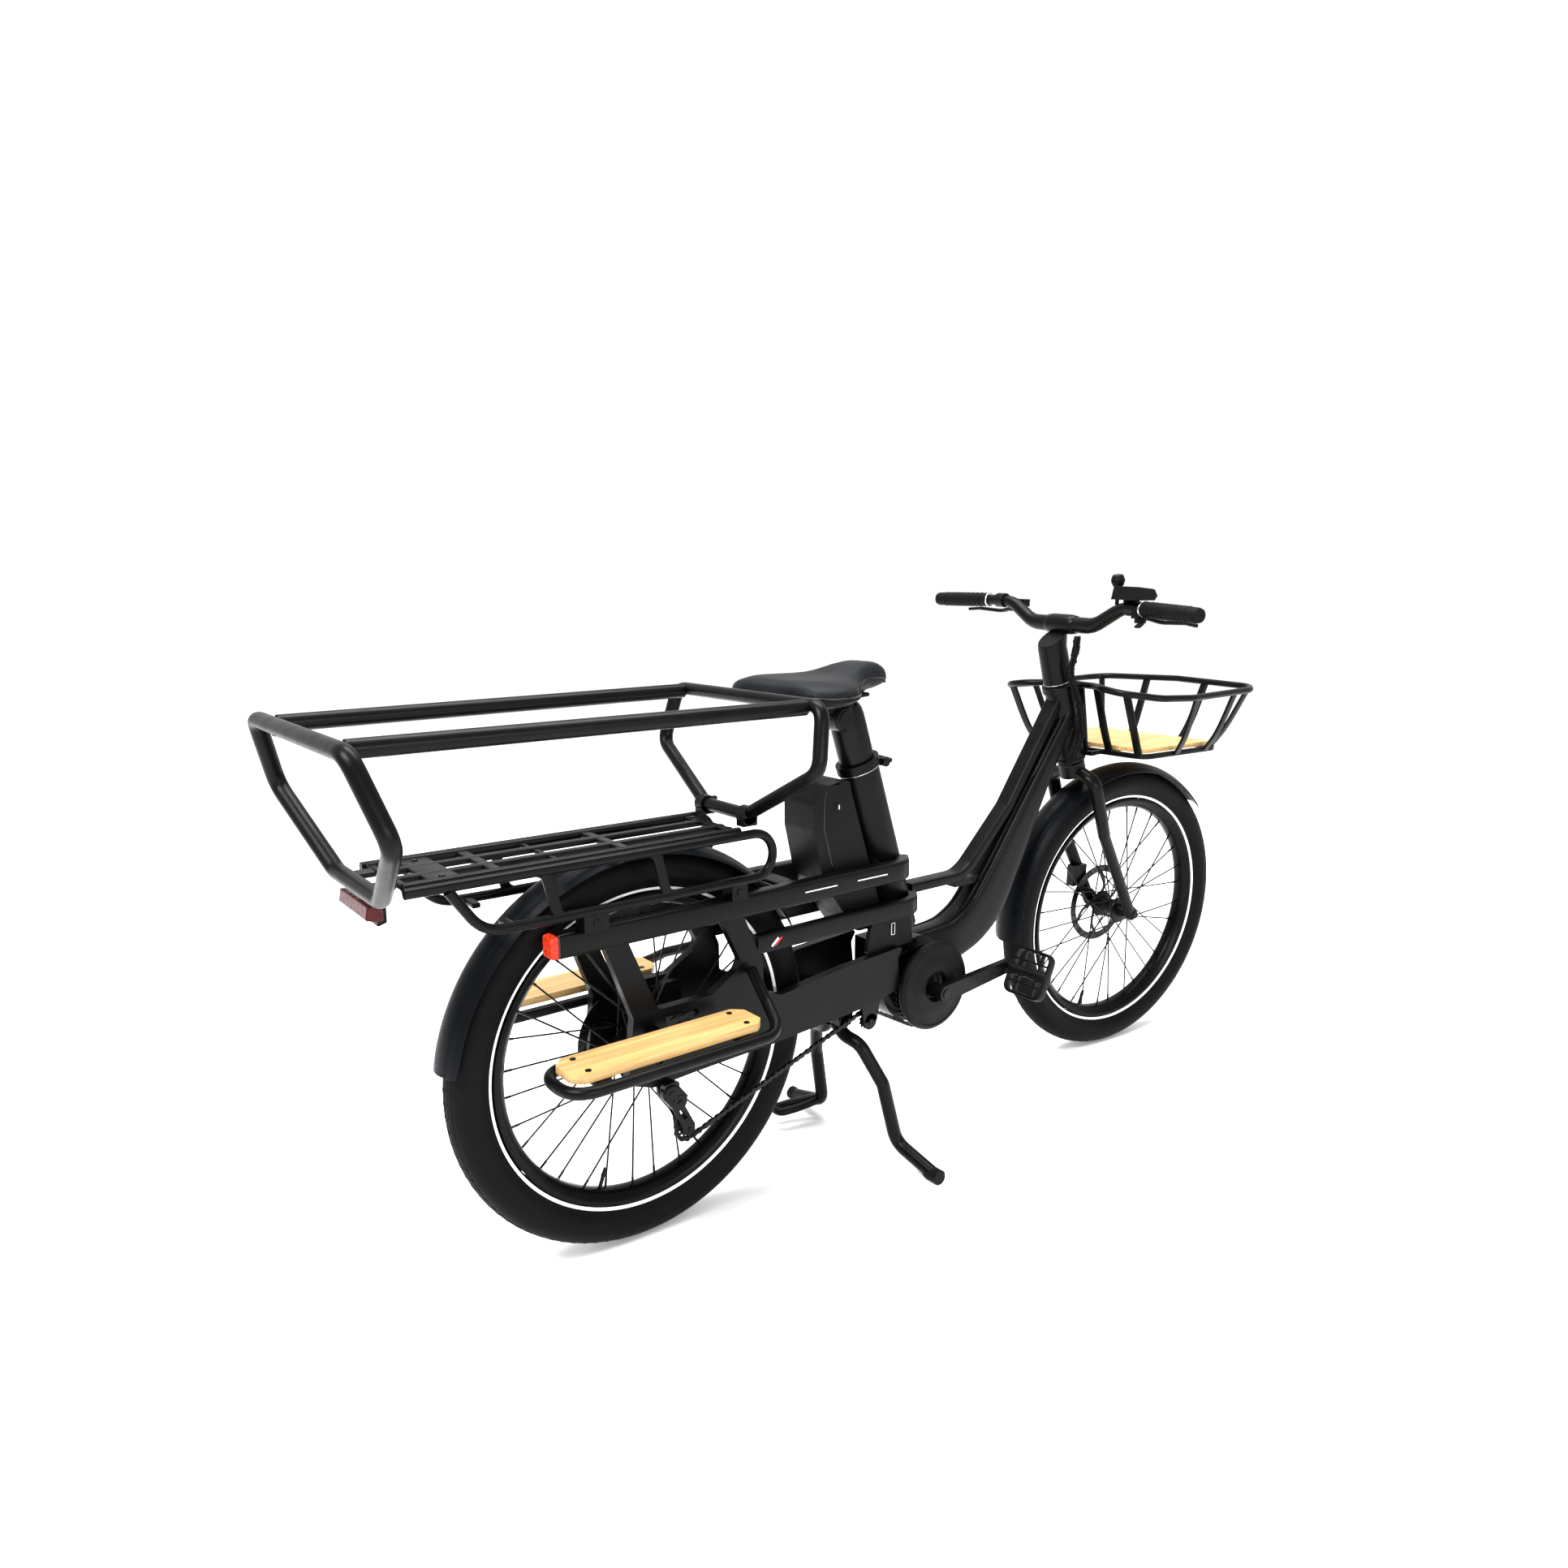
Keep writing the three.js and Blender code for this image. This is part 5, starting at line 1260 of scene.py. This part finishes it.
bell_parts = merge(
    rod((1034, -136, 1022), (1032, -138, 1064), 3.8, 20), rod((1031, -139, 1059), (1028, -139.5, 1070), 10, 36, 14),
    rod((1028, -139.5, 1070), (1026, -140, 1081), 14, 36, 10),
)
piece("bell_piece", "steering", [(bell_parts, PLASTIC)], ["bell"], steer=True, bevel=2.0)
shift = merge(rod((1022, -206, 999), (1022, -206, 991), 11, 32),
              sweep(bend([(1022, -206, 995), (1006, -222, 991), (986, -230, 986)], 20, 6), box_section(5, 12, 2), Z))
piece("shift_lever_piece", "shifter", [(shift, PLASTIC)], ["shift_lever"], steer=True, bevel=1.0)


# ---------------------------------------------------------------- cables
def cable_bundle():
    path = [STEER @ p for p in bend([
        (1011, -62, 955), (1022, -50, 925), (1014, -45, 878), (1054, -44, 809), (1065, -45, 748),
        (1042, -45, 700), (1022, -45, 682),
    ], 40, 10)]
    runs, wrap = [], []
    for k in range(4):
        strand = []
        for i, p in enumerate(path):
            a = 2 * math.pi * k / 4 + i * 0.12
            strand.append(p + Vector((math.cos(a), math.sin(a), 0)) * 4.4)
        runs.append(sweep(strand, oval(6.4, 6.4, 14), X))
    dense = spline(path[::2], 10)
    for i, p in enumerate(dense):
        a = i * 0.55
        wrap.append(p + Vector((math.cos(a), math.sin(a), 0)) * 7.4)
    coil = sweep(wrap, oval(2.6, 2.6, 6), Vector((0.3, 1, 0.2)))
    return merge(*runs), coil


strands, coil = cable_bundle()
cables = piece("cables_piece", None, [(strands, GRIP), (coil, PLASTIC)])
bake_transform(cables)
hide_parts("control_cables")


# ---------------------------------------------------------------- basket
def basket():
    corners = [
        (1092, 0, 848), (1078, -60, 848), (1050, -98, 847), (1050, -142, 841), (1110, -196, 831), (1200, -212, 828),
        (1420, -212, 832), (1460, -188, 835), (1472, 0, 840),
    ]
    loop = [*corners, *[(x, -y, z) for x, y, z in reversed(corners[1:-1])]]
    rim = sweep(ring_path(loop, 60, 10), oval(14, 14, 24), Z, closed=True)
    z = 702
    base = sweep(ring_path([(1140, -144, z), (1140, 144, z), (1394, 159, z), (1394, -159, z)], 30, 8),
                 box_section(11, 10, 2.5), Z, closed=True)
    cross = [bar((1100, y, z), (1396, y, z), 12, 9, 2) for y in (-40, 40)]

    def slat(top, foot):
        foot = (*foot, z)
        side = X if abs(foot[1]) > 140 else Y
        middle = Vector(top) * 0.35 + Vector(foot) * 0.65
        outward = Vector((top[0] - 1260, top[1], 0)).normalized() * 6
        return sweep(spline([top, middle + outward, foot], 8), box_section(18, 5.5, 2), side)

    slats = merge(
        slat((1060, 148, 840), (1139, 132)), slat((1217, 211, 829), (1240, 156)), slat((1362, 211, 831), (1340, 162)),
        slat((1450, 192, 835), (1394, 142)), slat((1470, 76, 839), (1395, 64)), slat((1074, 66, 847), (1139, 60)),
    )
    stay_bar = merge(
        block(1072, 1100, -22, 22, 841, 850),
        sweep(bend([(1116, 0, z), (1108, 0, 760), (1092, 0, 846)], 60, 6), box_section(40, 7, 2)),
        block(1096, 1110, -46, 46, z - 5, z + 4),
    )
    return merge(rim, base, *cross, both(slats), stay_bar)


piece("basket_piece", "frame", [(basket(), PAINT)], ["basket_frame"], bevel=0.8)
edge = rounded([(1152, -136), (1152, 136), (1384, 150), (1384, -150)], 14, 6)
piece("basket_floor_piece", "frame", [(lying(edge, 707.6, 717), FLOOR_BOARD)], ["basket_floor"],
      bevel=1.5)


# ---------------------------------------------------------------- stage
ground = bpy.data.meshes.new("ground")
ground.from_pydata([(-40, -40, 0), (40, -40, 0), (40, 40, 0), (-40, 40, 0)], [], [(0, 1, 2, 3)])
ground_object = bpy.data.objects.new("ground", ground)
bpy.context.scene.collection.objects.link(ground_object)


def ground_finish(tree, shader):
    shader.inputs["Base Color"].default_value = (0.95, 0.95, 0.95, 1)
    shader.inputs["Roughness"].default_value = 0.9


ground.materials.append(material("ground", ground_finish))

world = bpy.data.worlds.new("studio")
bpy.context.scene.world = world
world.use_nodes = True
world.node_tree.nodes["Background"].inputs["Color"].default_value = (1, 1, 1, 1)
world.node_tree.nodes["Background"].inputs["Strength"].default_value = 1.05


def softbox(name, at, aim, size, power):
    data = bpy.data.lights.new(name, "AREA")
    data.shape = "RECTANGLE"
    data.size, data.size_y = size
    data.energy = power
    lamp = bpy.data.objects.new(name, data)
    lamp.location = at
    lamp.rotation_euler = (Vector(aim) - Vector(at)).to_track_quat("-Z", "Y").to_euler()
    bpy.context.scene.collection.objects.link(lamp)


softbox("key", (-3.2, -0.8, 4.2), (0, 0, 0.4), (2.4, 1.6), 460)
softbox("top", (0.6, 0.6, 4.6), (0, 0, 0.3), (3.4, 1.6), 300)
softbox("side", (-0.4, -4.6, 1.6), (0, 0, 0.5), (3.0, 0.7), 120)
bpy.context.scene.view_settings.view_transform = "Standard"

yaw, pitch = math.radians(38.165), math.radians(10.414)
forward = Vector((math.sin(yaw) * math.cos(pitch), math.cos(yaw) * math.cos(pitch), -math.sin(pitch)))
right = Vector((math.cos(yaw), -math.sin(yaw), 0))
up = right.cross(forward)
camera_data = bpy.data.cameras.new("camera")
camera_data.lens = 25.01
camera_data.sensor_width = 36
camera = bpy.data.objects.new("camera", camera_data)
rotation = Matrix((right, up, -forward)).transposed()
camera.matrix_world = Matrix.Translation((-0.8412 - CENTRE_X / 1000, -1.4474, 1.0589)) @ rotation.to_4x4()
bpy.context.scene.collection.objects.link(camera)
bpy.context.scene.camera = camera
